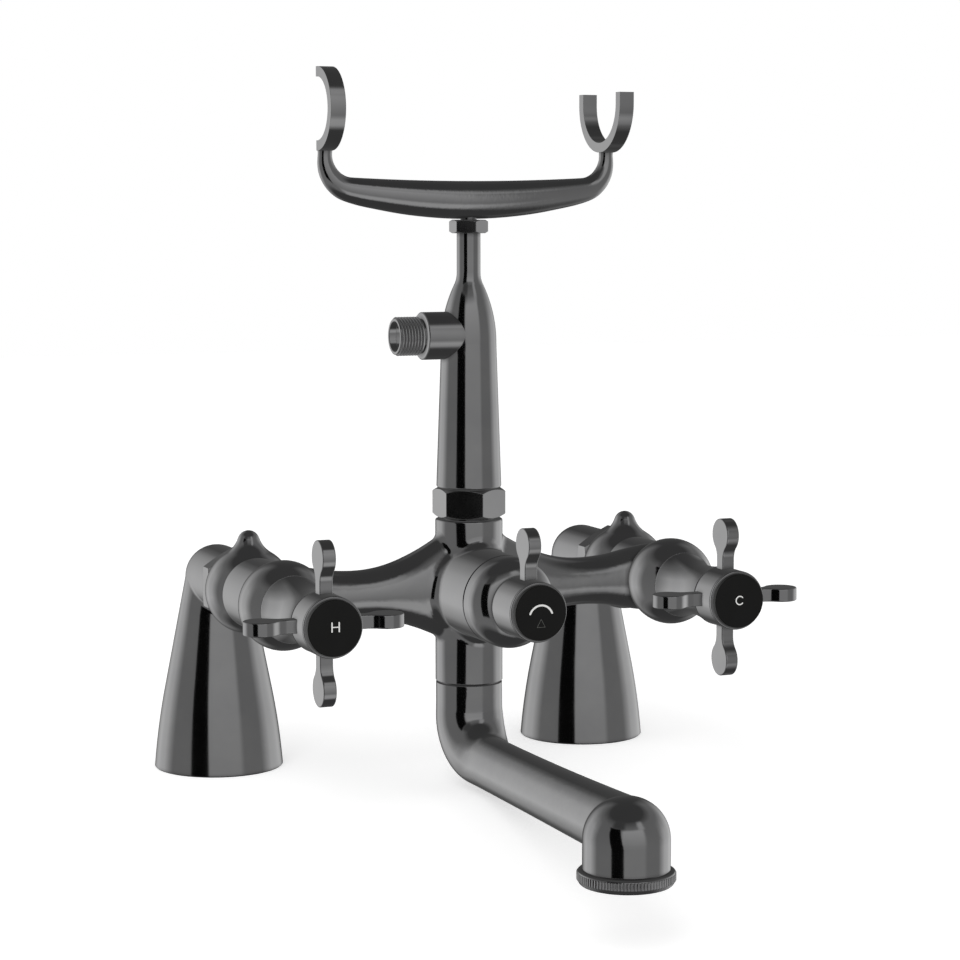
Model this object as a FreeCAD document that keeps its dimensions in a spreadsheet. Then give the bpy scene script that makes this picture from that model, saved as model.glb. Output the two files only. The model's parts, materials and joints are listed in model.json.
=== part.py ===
import FreeCAD, Part
import Sketcher
import math
import os

# Bath mixer on two deck pillars, in millimetres.
# +X is to the right, +Y to the back and +Z up. The origin lies on the deck, midway between
# the axes of the two pillars. The valves, the diverter and the spout point to -Y.

SIZES = {
    # places of the main axes
    "pillar_spacing": 180.0,
    "axis_height": 86.0,
    "column_forward": 78.0,
    "ball_forward": 94.0,
    "tail_forward": 47.0,
    # fits
    "running_gap": 0.05,
    "thread_gap": 0.05,
    "seal_gap": 0.02,
    "face_gap": 0.3,
    # pillars
    "foot_radius": 28.75,
    "foot_edge": 0.5,
    "skirt_height": 35.4,
    "skirt_radius": 23.95,
    "skirt_curve": 320.0,
    "skirt_wall": 3.0,
    "elbow_radius": 14.1,
    "elbow_reach": 27.1,
    "elbow_fillet": 2.5,
    "socket_radius": 12.1,
    "socket_depth": 16.0,
    "socket_boss_radius": 16.0,
    "pillar_bore": 9.0,
    "pillar_thread_radius": 13.15,
    "pillar_thread_length": 4.5,
    # union nuts on the pillars, washers and tail nipples
    "union_flats": 30.0,
    "union_length": 10.0,
    "nut_chamfer": 1.3,
    "washer_thickness": 1.5,
    "nipple_flange_radius": 12.4,
    "nipple_flange_thickness": 1.8,
    "nipple_radius": 10.4,
    "nipple_bore": 7.0,
    "nipple_grip": 8.0,
    # tails, necks and valve balls of the body casting
    "tail_radius": 18.9,
    "tail_tip_radius": 4.8,
    "tail_tip_height": 26.0,
    "tail_tip_curve": 12.0,
    "neck_radius": 15.3,
    "ball_radius": 18.9,
    "ball_front": 12.6,
    # arms
    "arm_radius": 10.4,
    "oval_excess": 0.05,
    "arm_start": 16.0,
    "column_flare_rise": 10.6,
    "column_flare_reach": 34.0,
    "column_flare_lift": 1.3,
    "ball_flare_rise": 4.6,
    "ball_flare_reach": 34.0,
    # column and front boss
    "column_radius": 14.6,
    "column_drop": 40.8,
    "column_rise": 30.5,
    "column_edge": 0.8,
    "boss_radius": 19.2,
    "boss_reach": 40.0,
    "boss_edge": 0.6,
    "casting_fillet": 5.0,
    # waterways of the casting
    "chamber_radius": 10.45,
    "chamber_depth": 37.1,
    "diverter_chamber_depth": 33.5,
    "mixing_radius": 7.0,
    "arm_bore": 6.0,
    "column_bore": 7.5,
    "port_bore": 3.8,
    "port_rise": 27.0,
    "port_slant": 40.0,
    "port_length": 27.5,
    "riser_way_depth": 10.0,
    "spout_way_depth": 4.0,
    "spout_socket_depth": 17.0,
    # cartridges
    "seal_thickness": 2.0,
    "disc_thickness": 2.75,
    "seal_width": 2.7,
    "disc_port": 2.4,
    "disc_port_offset": 5.0,
    "sleeve_wall": 1.2,
    "sleeve_window": 7.0,
    "cage_length": 8.0,
    "collar_radius": 11.2,
    "collar_length": 2.6,
    "stem_housing_radius": 6.8,
    "stem_housing_length": 13.0,
    "spindle_radius": 4.0,
    "spindle_foot_length": 16.0,
    "spindle_foot_thickness": 3.0,
    "spindle_tongue": 1.2,
    "spindle_flat": 3.0,
    "spindle_foot_width": 5.0,
    "spindle_ring_place": 10.0,
    "spindle_ring_wire": 1.6,
    # shrouds of the two valves
    "shroud_base_radius": 14.0,
    "shroud_waist_radius": 11.0,
    "shroud_waist_place": 17.4,
    "shroud_mouth_radius": 12.6,
    "shroud_bore": 9.4,
    "shroud_cone": 3.1,
    # handles
    "hub_radius": 12.5,
    "hub_standoff": 33.9,
    "hub_length": 15.3,
    "hub_edge": 0.5,
    "spindle_grip": 8.0,
    "hub_web": 2.0,
    "hub_lip": 1.05,
    "rim_width": 1.1,
    "rim_groove": 0.3,
    "screw_pocket_radius": 4.4,
    "screw_radius": 2.0,
    "screw_head_radius": 3.5,
    "screw_head_length": 2.6,
    "screw_bite": 6.0,
    "index_gap": 0.1,
    "index_thickness": 4.0,
    "index_edge": 0.4,
    "index_recess": 1.9,
    "lever_place": 10.8,
    "lever_reach": 33.6,
    "lobe_radius": 7.0,
    "lever_neck": 5.4,
    "lever_curve": 7.0,
    "lever_thickness": 5.6,
    "lever_edge": 0.5,
    # diverter
    "diverter_hub_standoff": 15.0,
    "diverter_hub_length": 20.0,
    "diverter_dome_curve": 10.0,
    "diverter_dome_mouth": 12.8,
    # riser and its nut
    "riser_flats": 27.6,
    "riser_nut_length": 12.6,
    "riser_nut_gap": 0.8,
    "riser_thread_length": 5.5,
    "riser_edge": 0.8,
    "riser_foot_radius": 14.05,
    "riser_shoulder_radius": 11.9,
    "riser_height": 62.3,
    "riser_neck_rise": 30.0,
    "riser_pipe_radius": 5.1,
    "riser_pipe_length": 22.65,
    "riser_shoulder_curve": 58.0,
    "riser_pin_radius": 3.5,
    "riser_pin_length": 6.0,
    "riser_bore": 7.5,
    "riser_way_rise": 10.5,
    "riser_thread_radius": 11.0,
    "riser_tail_flange": 10.8,
    "riser_tail_radius": 9.6,
    # hose outlet
    "hose_rise": 3.3,
    "hose_boss_radius": 10.2,
    "hose_boss_reach": 22.0,
    "hose_thread_radius": 8.33,
    "hose_thread_reach": 34.2,
    "hose_bore": 6.9,
    "hose_shank_radius": 7.4,
    "hose_shank_length": 9.0,
    "hose_rim": 0.4,
    "hose_inlet": 5.0,
    "hose_inlet_length": 3.0,
    "check_shell_length": 11.0,
    "check_bore": 5.2,
    "check_seat": 3.6,
    "check_seat_length": 2.0,
    "check_bridge": 1.4,
    "check_window": 1.1,
    "check_window_offset": 3.4,
    "poppet_radius": 4.6,
    "poppet_head": 1.6,
    "poppet_stem_radius": 1.2,
    "poppet_stem_length": 7.6,
    # cradle
    "collar_flats": 14.6,
    "collar_height": 5.7,
    "collar_chamfer": 0.7,
    "bar_rise": 3.05,
    "bar_rise_span": 46.0,
    "bar_radius": 8.1,
    "bar_taper_power": 2.0,
    "stem_spread": 64.9,
    "stem_radius": 3.1,
    "stem_length": 3.1,
    "stem_bend": 13.5,
    "right_fork_radius": 20.7,
    "left_fork_radius": 17.4,
    "fork_thickness": 4.2,
    "fork_width": 6.6,
    "right_prong": 4.8,
    "left_prong": 1.2,
    "fork_pin_radius": 1.8,
    "fork_pin_length": 4.0,
    # spout
    "spout_top_radius": 14.4,
    "spout_outer_bend": 30.2,
    "spout_inner_bend": 10.7,
    "spout_run_radius": 11.4,
    "spout_growth": 1.5,
    "spout_climb": 1.1,
    "spout_drop": 32.1,
    "spout_reach": 157.6,
    "spout_wall": 2.6,
    "spout_edge": 0.5,
    "head_radius": 17.0,
    "head_shoulder": 16.4,
    "head_drop": 14.3,
    "outlet_bore": 11.0,
    "spigot_radius": 10.6,
    "spigot_length": 15.0,
    "spout_bore": 7.5,
    "o_ring_wire": 1.8,
    "o_ring_low": 3.4,
    "o_ring_high": 11.6,
    "retainer_place": 7.5,
    "retainer_groove": 1.6,
    "retainer_radius": 2.0,
    "spout_swing": 60.0,
    "retainer_clear": 26.0,
    # aerator
    "aerator_ring_radius": 19.2,
    "aerator_ring_height": 5.4,
    "aerator_ring_edge": 1.6,
    "aerator_thread_radius": 14.0,
    "aerator_thread_length": 5.0,
    "aerator_bore": 12.4,
    "aerator_lip": 1.4,
    "aerator_plate": 1.6,
    "aerator_hole_radius": 0.9,
    "aerator_hole_pitch": 3.0,
    "aerator_washer_thickness": 1.0,
}

doc = FreeCAD.newDocument("bath_mixer")
sheet = doc.addObject("Spreadsheet::Sheet", "Sizes")
for row, (alias, number) in enumerate(SIZES.items(), start=1):
    sheet.set(f"A{row}", alias.replace("_", " "))
    sheet.set(f"B{row}", str(number))
    sheet.setAlias(f"B{row}", alias)
doc.recompute()


class Size:
    """A length with the sheet formula that gives it, so that sums and products stay bound."""

    def __init__(self, number, formula):
        self.number = number
        self.formula = formula

    def __add__(self, other):
        other = size(other)
        return Size(self.number + other.number, f"({self.formula} + {other.formula})")

    def __sub__(self, other):
        other = size(other)
        return Size(self.number - other.number, f"({self.formula} - {other.formula})")

    def __mul__(self, other):
        other = size(other)
        return Size(self.number * other.number, f"({self.formula} * {other.formula})")

    def __truediv__(self, other):
        other = size(other)
        return Size(self.number / other.number, f"({self.formula} / {other.formula})")

    def __neg__(self):
        return Size(-self.number, f"(0 - {self.formula})")

    def __radd__(self, other):
        return size(other) + self

    def __rsub__(self, other):
        return size(other) - self

    def __rmul__(self, other):
        return size(other) * self

    def __float__(self):
        return float(self.number)


def size(value):
    return value if isinstance(value, Size) else Size(value, repr(value))


def root(value):
    return Size(math.sqrt(value.number), f"sqrt({value.formula})")


def side(long_side, short_side):
    """The other leg of a right-angled triangle, as where a circle is cut by a line."""
    return root(size(long_side) * long_side - size(short_side) * short_side)


class Sheet:
    """The sheet's cells as attributes."""

    def __getattr__(self, alias):
        return Size(float(SIZES[alias]), f"Sizes.{alias}")


s = Sheet()
parts = []

UP = FreeCAD.Rotation()
FORWARD = FreeCAD.Rotation(FreeCAD.Vector(1, 0, 0), 90)
LEFT = FreeCAD.Rotation(FreeCAD.Vector(0, 1, 0), -90)
ACROSS = FreeCAD.Rotation(FreeCAD.Vector(1, 1, 1), 120)


def bind(thing, name, value):
    thing.setExpression(name, size(value).formula)


def place(thing, at, turn=UP):
    """Set a turn and bind the three coordinates of a piece."""
    thing.Placement = FreeCAD.Placement(FreeCAD.Vector(*[float(size(c)) for c in at]), turn)
    for letter, coordinate in zip("xyz", at):
        bind(thing, f"Placement.Base.{letter}", coordinate)


def keep(thing, label):
    """Name a finished sub-part, to be written to its own file."""
    thing.Label = label
    parts.append(thing)
    return thing


def new_body(name, at=(0, 0, 0), turn=UP):
    body = doc.addObject("PartDesign::Body", name)
    place(body, at, turn)
    return body


def origin_plane(body, role):
    for feature in body.Origin.OriginFeatures:
        if feature.Role == role:
            return feature
    raise ValueError(role)


def line(x, y):
    return ("line", size(x), size(y), None, None, False)


def arc(x, y, radius, turn, large=False):
    """An arc to a point; turn is +1 for counter-clockwise travel and -1 for clockwise."""
    return ("arc", size(x), size(y), size(radius), turn, large)


def arc_centre(start, end, radius, turn, large):
    middle = (start + end) * 0.5
    chord = end - start
    height = math.sqrt(max(radius ** 2 - chord.Length ** 2 / 4, 0.0))
    across = FreeCAD.Vector(-chord.y, chord.x, 0).normalize() * height
    return middle + across * (-turn if large else turn)


def arc_edge(start, end, radius, turn, large):
    centre = arc_centre(start, end, radius, turn, large)
    circle = Part.Circle(centre, FreeCAD.Vector(0, 0, 1), radius)
    begin, finish = (start, end) if turn > 0 else (end, start)
    angles = [math.atan2(p.y - centre.y, p.x - centre.x) for p in (begin, finish)]
    if angles[1] <= angles[0]:
        angles[1] += 2 * math.pi
    return Part.ArcOfCircle(circle, angles[0], angles[1])


def hold(sketch, geometry, end, axis, value):
    """Tie one coordinate of a point to the sheet."""
    if abs(value.number) < 1e-9:
        sketch.addConstraint(Sketcher.Constraint("PointOnObject", geometry, end, -2 if axis == "X" else -1))
        return
    index = sketch.addConstraint(
        Sketcher.Constraint(f"Distance{axis}", -1, 1, geometry, end, value.number))
    sketch.setExpression(f"Constraints[{index}]", value.formula)


def outline(body, name, steps, plane="XZ_Plane"):
    """A closed sketch of lines and arcs, every corner tied to the sheet."""
    sketch = body.newObject("Sketcher::SketchObject", name)
    sketch.AttachmentSupport = [(origin_plane(body, plane), "")]
    sketch.MapMode = "FlatFace"
    corners = [FreeCAD.Vector(step[1].number, step[2].number, 0) for step in steps]
    ends = []
    for number, step in enumerate(steps):
        start = corners[number - 1]
        end = corners[number]
        kind, x, y, radius, turn, large = step
        if kind == "line":
            geometry = sketch.addGeometry(Part.LineSegment(start, end))
            first, last = 1, 2
        else:
            geometry = sketch.addGeometry(arc_edge(start, end, radius.number, turn, large))
            first, last = (1, 2) if turn > 0 else (2, 1)
            index = sketch.addConstraint(Sketcher.Constraint("Radius", geometry, radius.number))
            sketch.setExpression(f"Constraints[{index}]", radius.formula)
        ends.append((geometry, first, last))
        hold(sketch, geometry, last, "X", x)
        hold(sketch, geometry, last, "Y", y)
    for number, (geometry, first, last) in enumerate(ends):
        before, _, before_last = ends[number - 1]
        sketch.addConstraint(Sketcher.Constraint("Coincident", before, before_last, geometry, first))
    return sketch


def circle(body, name, spots, plane="XY_Plane"):
    """A sketch of one or more circles, each given as (x, y, radius)."""
    sketch = body.newObject("Sketcher::SketchObject", name)
    sketch.AttachmentSupport = [(origin_plane(body, plane), "")]
    sketch.MapMode = "FlatFace"
    for x, y, radius in spots:
        x, y, radius = size(x), size(y), size(radius)
        centre = FreeCAD.Vector(x.number, y.number, 0)
        geometry = sketch.addGeometry(Part.Circle(centre, FreeCAD.Vector(0, 0, 1), radius.number))
        index = sketch.addConstraint(Sketcher.Constraint("Radius", geometry, radius.number))
        sketch.setExpression(f"Constraints[{index}]", radius.formula)
        hold(sketch, geometry, 3, "X", x)
        hold(sketch, geometry, 3, "Y", y)
    return sketch


def revolve(body, name, steps):
    """Turn an outline of (radius, height) about the body's own Z axis."""
    sketch = outline(body, name + "_outline", steps)
    feature = body.newObject("PartDesign::Revolution", name)
    feature.Profile = (sketch, [""])
    feature.ReferenceAxis = (sketch, ["V_Axis"])
    feature.Angle = 360
    return feature


def groove(body, name, steps):
    """Cut a turned outline out of the body."""
    doc.recompute()
    before = body.Shape.Volume
    sketch = outline(body, name + "_outline", steps)
    feature = body.newObject("PartDesign::Groove", name)
    feature.Profile = (sketch, [""])
    feature.ReferenceAxis = (sketch, ["V_Axis"])
    feature.Angle = 360
    doc.recompute()
    if body.Shape.Volume >= before:
        raise ValueError(f"{name} cut nothing")
    return feature


def pad(body, name, sketch, length, middle=False, back=False):
    feature = body.newObject("PartDesign::Pad", name)
    feature.Profile = (sketch, [""])
    bind(feature, "Length", length)
    feature.SideType = "Symmetric" if middle else "One side"
    feature.Reversed = back
    return feature


def pocket(body, name, sketch, length, middle=False, back=False):
    doc.recompute()
    before = body.Shape.Volume
    feature = body.newObject("PartDesign::Pocket", name)
    feature.Profile = (sketch, [""])
    bind(feature, "Length", length)
    feature.SideType = "Symmetric" if middle else "One side"
    feature.Reversed = back
    doc.recompute()
    if body.Shape.Volume >= before:
        raise ValueError(f"{name} cut nothing")
    return feature


def turned(label, steps, at=(0, 0, 0), turn=UP):
    """A sub-part turned from one outline of (radius, height) corners."""
    body = new_body(label, at, turn)
    revolve(body, label + "_turned", steps)
    return keep(body, label)


def hexagon(body, name, flats):
    """A hexagon with two flats facing the body's X axis."""
    half = flats / 2
    low = half / math.sqrt(3)
    corner = low * 2
    return outline(body, name, [
        line(half, low),
        line(0, corner),
        line(-half, low),
        line(-half, -low),
        line(0, -corner),
        line(half, -low),
    ], "XY_Plane")


def chamfered_hexagon(body, flats, foot, length, chamfer):
    """A hexagonal bar between two heights, its corners turned off at 30 degrees at both ends."""
    sketch = hexagon(body, body.Name + "_flats", flats)
    sketch.AttachmentOffset = FreeCAD.Placement(FreeCAD.Vector(0, 0, float(foot)), FreeCAD.Rotation())
    sketch.setExpression("AttachmentOffset.Base.z", foot.formula)
    pad(body, body.Name + "_bar", sketch, length)
    beyond = flats * 2 / math.sqrt(3)
    inner = flats / 2 - chamfer / 4
    drop = (beyond - inner) / math.sqrt(3)
    top = foot + length
    groove(body, body.Name + "_top_corners", [
        line(inner, top),
        line(beyond, top - drop),
        line(beyond, top + chamfer),
        line(inner, top + chamfer),
    ])
    groove(body, body.Name + "_foot_corners", [
        line(inner, foot),
        line(inner, foot - chamfer),
        line(beyond, foot - chamfer),
        line(beyond, foot + drop),
    ])


def cylinder(name, radius, length, at, turn=UP):
    """A plain rod, used as one term of a casting or as a drilled way."""
    thing = doc.addObject("Part::Cylinder", name)
    bind(thing, "Radius", radius)
    bind(thing, "Height", length)
    place(thing, at, turn)
    return thing


def ball(name, radius, at):
    thing = doc.addObject("Part::Sphere", name)
    bind(thing, "Radius", radius)
    place(thing, at)
    return thing


def fuse(name, shapes):
    thing = doc.addObject("Part::MultiFuse", name)
    thing.Shapes = shapes
    return thing


def cut(name, base, tool):
    thing = doc.addObject("Part::Cut", name)
    thing.Base = base
    thing.Tool = tool
    return thing


def fillet(name, base, radius, test):
    """Round the edges of base that pass the test."""
    doc.recompute()
    numbers = [n for n, edge in enumerate(base.Shape.Edges, start=1) if test(edge)]
    if not numbers:
        raise ValueError(f"{name} found no edge")
    thing = doc.addObject("Part::Fillet", name)
    thing.Base = base
    thing.Edges = [(n, float(radius), float(radius)) for n in numbers]
    return thing


# Forward distances of the unions, shared by both valves
union_start = s.elbow_reach + s.face_gap
union_end = union_start + s.union_length
pillar_thread_end = s.elbow_reach + s.pillar_thread_length
nipple_start = pillar_thread_end + s.washer_thickness
tail_back = union_end + s.face_gap
ball_seam = s.ball_forward + s.ball_front
boss_seam = s.column_forward + s.boss_reach

# Heights from the casting's axis down to the aerator
column_foot = s.axis_height - s.column_drop
spout_run = column_foot - s.spout_drop
head_foot = spout_run - s.head_drop
aerator_top = head_foot - s.face_gap
aerator_foot = aerator_top - s.aerator_ring_height
aerator_thread_top = aerator_top + s.aerator_thread_length

# Heights from the casting's axis up to the cradle's stems
column_top = s.axis_height + s.column_rise
riser_nut_foot = column_top + s.riser_nut_gap
riser_foot = riser_nut_foot + s.riser_nut_length + s.face_gap
riser_shoulder = riser_foot + s.riser_height
riser_way_top = riser_shoulder + s.riser_way_rise
hose_height = riser_shoulder + s.hose_rise
riser_neck = riser_shoulder + s.riser_neck_rise
riser_pipe_top = riser_neck + s.riser_pipe_length
bar_height = riser_pipe_top + s.face_gap + s.bar_radius

# The cradle bar's long bow and the bends that turn it up into the stems
bow_radius = (s.bar_rise_span * s.bar_rise_span + s.bar_rise * s.bar_rise) / (s.bar_rise * 2)
bow_centre = bar_height + bow_radius
stem_bend_place = s.stem_spread - s.stem_bend
stem_bend_height = bow_centre - side(bow_radius - s.stem_bend, stem_bend_place)
stem_top = stem_bend_height + s.stem_length


def ring(label, inner, outer, start, end, at, turn=UP):
    """A flat washer between two heights."""
    return turned(label, [
        line(inner, start),
        line(outer, start),
        line(outer, end),
        line(inner, end),
    ], at, turn)


def o_ring(name, wall, wire, height, at, turn=UP):
    """A seal for a shaft's groove; its wire just clears the wall round the shaft."""
    thing = doc.addObject("Part::Torus", name)
    bind(thing, "Radius1", wall - s.seal_gap - wire / 2)
    bind(thing, "Radius2", wire / 2)
    if turn is FORWARD:
        place(thing, (at[0], at[1] - height, at[2]), turn)
    else:
        place(thing, (at[0], at[1], at[2] + height), turn)
    return thing


def groove_floor(wall, wire):
    """Radius at the bottom of an O-ring's groove."""
    return wall - s.seal_gap * 2 - wire


def flanged_nipple(label, flange, stem, bore, start, thickness, end, at, turn=UP):
    return turned(label, [
        line(bore, start),
        line(flange, start),
        line(flange, start + thickness),
        line(stem, start + thickness),
        line(stem, end),
        line(bore, end),
    ], at, turn)


def union_nut(label, flats, start, length, thread, lip, hole, at, turn=UP):
    """A hexagonal nut that pulls a nipple's flange up to the thread it screws on."""
    nut = new_body(label, at, turn)
    chamfered_hexagon(nut, flats, start, length, s.nut_chamfer)
    end = start + length
    groove(nut, label + "_thread", [
        line(0, start - length),
        line(thread + s.thread_gap, start - length),
        line(thread + s.thread_gap, lip),
        line(hole, lip),
        line(hole, end + length),
        line(0, end + length),
    ])
    return keep(nut, label)


# Pillars and their unions

def pillar(label, x):
    """A hollow conical leg that turns forward through an elbow, with its supply socket below."""
    skirt = new_body(label + "_skirt", (x, 0, 0))
    cavity_top = s.skirt_height - s.skirt_wall
    revolve(skirt, label + "_skirt_turned", [
        line(s.socket_boss_radius, 0),
        line(s.socket_boss_radius, cavity_top),
        line(s.skirt_radius - s.skirt_wall, cavity_top),
        line(s.foot_radius - s.skirt_wall, 0),
        line(s.foot_radius - s.foot_edge, 0),
        line(s.foot_radius, s.foot_edge),
        arc(s.skirt_radius, s.skirt_height, s.skirt_curve, 1),
        line(s.elbow_radius, s.axis_height),
        arc(0, s.axis_height + s.elbow_radius, s.elbow_radius, 1),
        line(0, s.socket_depth),
        line(s.socket_radius, s.socket_depth),
        line(s.socket_radius, 0),
    ])
    axis = (x, 0, s.axis_height)
    tube = cylinder(label + "_tube", s.elbow_radius, s.elbow_reach, axis, FORWARD)
    thread = cylinder(label + "_thread", s.pillar_thread_radius, pillar_thread_end, axis, FORWARD)
    outer = fuse(label + "_outer", [skirt, tube, thread])
    crease = fillet(label + "_crease", outer, s.elbow_fillet, is_elbow_crease)
    riser_way = cylinder(label + "_way_up", s.pillar_bore, s.axis_height, (x, 0, 0))
    bend = ball(label + "_way_bend", s.pillar_bore, axis)
    way_out = cylinder(label + "_way_out", s.pillar_bore, pillar_thread_end + s.pillar_bore, axis, FORWARD)
    ways = fuse(label + "_ways", [riser_way, bend, way_out])
    return keep(cut(label, crease, ways), label)


def is_elbow_crease(edge):
    """The edge where the cone meets the underside of the elbow's tube."""
    bounds = edge.BoundBox
    low = float(s.axis_height - s.elbow_radius * 1.5)
    high = float(s.axis_height) + 0.1
    return (low < bounds.ZMin and bounds.ZMax < high and bounds.ZLength > float(s.elbow_radius) * 0.8
            and bounds.YLength > 1 and bounds.YMin > -float(s.elbow_radius) * 1.5)


def pillar_union(name, x):
    axis = (x, 0, s.axis_height)
    flange_end = nipple_start + s.nipple_flange_thickness
    union_nut(f"{name}_union_nut", s.union_flats, union_start, s.union_length, s.pillar_thread_radius,
              flange_end + s.running_gap, s.nipple_radius + s.face_gap, axis, FORWARD)
    ring(f"{name}_union_washer", s.nipple_bore, s.nipple_flange_radius, pillar_thread_end, nipple_start,
         axis, FORWARD)
    flanged_nipple(f"{name}_tail_nipple", s.nipple_flange_radius, s.nipple_radius, s.nipple_bore,
                   nipple_start, s.nipple_flange_thickness, tail_back + s.nipple_grip, axis, FORWARD)


# Body casting

def tail(name, x):
    """A ball drawn up to a rounded peak, through a hollow curve that touches both."""
    body = new_body(name, (x, -s.tail_forward, s.axis_height))
    tip_centre = s.tail_tip_height - s.tail_tip_radius
    outer = s.tail_radius + s.tail_tip_curve
    inner = s.tail_tip_radius + s.tail_tip_curve
    hollow_height = (outer * outer - inner * inner + tip_centre * tip_centre) / (tip_centre * 2)
    hollow_place = side(outer, hollow_height)
    ball_share = s.tail_radius / outer
    tip_share = s.tail_tip_radius / inner
    revolve(body, name + "_turned", [
        line(0, -s.tail_radius),
        arc(hollow_place * ball_share, hollow_height * ball_share, s.tail_radius, 1),
        arc(hollow_place * tip_share, tip_centre + (hollow_height - tip_centre) * tip_share,
            s.tail_tip_curve, -1),
        arc(0, s.tail_tip_height, s.tail_tip_radius, 1),
    ])
    return body


def arm(name, way):
    """An arm of upright oval sections that flare up to the column and to the valve ball."""
    ball_end = s.pillar_spacing / 2
    sections = []
    for share in (-0.176, 0.0, 0.12, 0.26, 0.46, 0.7, 1.0):
        reach = s.arm_start + s.column_flare_reach * share
        fall = size(1 - share)
        swell = fall * root(fall * root(fall))
        sections.append((reach, s.column_flare_rise * swell, s.column_flare_lift * swell))
    for share in (0.98, 0.75, 0.5, 0.25, 0.0):
        fall = size(1 - share)
        rise = s.ball_flare_rise * fall * fall * (3 - fall * 2)
        sections.append((ball_end - s.ball_flare_reach * share, rise, size(0)))
    ovals = []
    for number, (reach, rise, lift) in enumerate(sections):
        oval = doc.addObject("Part::Ellipse", f"{name}_oval_{number}")
        bind(oval, "MajorRadius", s.arm_radius + s.oval_excess + rise)
        bind(oval, "MinorRadius", s.arm_radius)
        place(oval, (reach * way, -s.column_forward, s.axis_height + lift), LEFT)
        ovals.append(oval)
    loft = doc.addObject("Part::Loft", name)
    loft.Sections = ovals
    loft.Solid = True
    return loft


def is_casting_crease(edge):
    """The winding edges where the arms, the column and the front boss meet."""
    bounds = edge.BoundBox
    around = float(s.boss_radius) + 1
    return (edge.Curve.TypeId == "Part::GeomBSplineCurve" and -around < bounds.XMin
            and bounds.XMax < around)


def mixer_body():
    """One casting: two tails, two valve balls, the arms, the column and its front boss."""
    middle = (0, -s.column_forward, 0)
    crossing = (0, -s.column_forward, s.axis_height)
    column = new_body("column", middle)
    revolve(column, "column_turned", [
        line(0, column_foot),
        line(s.column_radius - s.column_edge, column_foot),
        line(s.column_radius, column_foot + s.column_edge),
        line(s.column_radius, column_top - s.column_edge),
        arc(s.column_radius - s.column_edge, column_top, s.column_edge, 1),
        line(0, column_top),
    ])
    boss = new_body("boss", crossing, FORWARD)
    revolve(boss, "boss_turned", [
        line(0, 0),
        line(s.boss_radius, 0),
        line(s.boss_radius, s.boss_reach - s.boss_edge),
        line(s.boss_radius - s.boss_edge, s.boss_reach),
        line(0, s.boss_reach),
    ])
    core = fuse("column_boss_and_arms", [column, boss, arm("hot_arm", -1), arm("cold_arm", 1)])
    core = fillet("creases_blended", core, s.casting_fillet, is_casting_crease)
    riser_thread = cylinder("riser_thread", s.riser_thread_radius, s.riser_thread_length,
                            (0, -s.column_forward, column_top))
    solids = [core, riser_thread]
    voids = []
    for name, way in (("hot", -1), ("cold", 1)):
        x = s.pillar_spacing / 2 * way
        axis = (x, 0, s.axis_height)
        tail_place = (x, -s.tail_forward, s.axis_height)
        solids.append(tail(name + "_tail", x))
        solids.append(cylinder(name + "_neck", s.neck_radius, s.ball_forward - s.tail_forward,
                               tail_place, FORWARD))
        solids.append(ball(name + "_ball", s.ball_radius, (x, -s.ball_forward, s.axis_height)))
        front = (x, -ball_seam, s.axis_height)
        voids.append(cylinder(name + "_front_trim", s.ball_radius * 2, s.ball_radius, front, FORWARD))
        voids.append(cylinder(name + "_back_trim", s.tail_radius * 2, tail_back, axis, FORWARD))
        voids.append(cylinder(name + "_tail_thread", s.nipple_radius + s.thread_gap,
                              tail_back + s.nipple_grip + s.face_gap, axis, FORWARD))
        voids.append(cylinder(name + "_inlet", s.nipple_bore, ball_seam, axis, FORWARD))
        chamber = (x, s.chamber_depth - ball_seam, s.axis_height)
        voids.append(cylinder(name + "_chamber", s.chamber_radius, s.ball_forward, chamber, FORWARD))
    voids.append(cylinder("diverter_chamber", s.chamber_radius, s.diverter_chamber_depth * 2,
                          (0, s.diverter_chamber_depth - boss_seam, s.axis_height), FORWARD))
    voids.append(cylinder("mixing_way", s.mixing_radius, s.boss_reach, crossing, FORWARD))
    arms_way = cylinder("arms_way", s.arm_bore, s.pillar_spacing,
                        (s.pillar_spacing / 2, -s.column_forward, s.axis_height), LEFT)
    voids.append(arms_way)
    riser_way = s.riser_way_depth + s.riser_thread_length * 2
    voids.append(cylinder("riser_way", s.column_bore, riser_way,
                          (0, -s.column_forward, column_top - s.riser_way_depth)))
    spout_socket = s.spigot_radius + s.running_gap
    voids.append(cylinder("spout_socket", spout_socket, s.spout_socket_depth * 2,
                          (0, -s.column_forward, column_foot - s.spout_socket_depth)))
    voids.append(cylinder("spout_way", s.column_bore, s.spout_way_depth + s.spout_socket_depth,
                          (0, -s.column_forward, column_foot)))
    slant = float(s.port_slant)
    for name, rise, angle in (("riser_port", s.port_rise, 180 - slant), ("spout_port", -s.port_rise, slant)):
        tilt = FreeCAD.Rotation(FreeCAD.Vector(1, 0, 0), angle)
        start = (0, -s.column_forward, s.axis_height + rise)
        voids.append(cylinder(name, s.port_bore, s.port_length, start, tilt))
    voids.append(cylinder("retainer_hole", s.retainer_radius + s.thread_gap, s.column_radius,
                          (0, s.column_radius + 1 - s.column_forward, column_foot + s.retainer_place),
                          FORWARD))
    casting = fuse("casting", solids)
    hollows = fuse("hollows", voids)
    return keep(cut("mixer_body", casting, hollows), "mixer_body")


# Valves. Heights in these pieces are distances forward of the pillars' axes.

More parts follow.
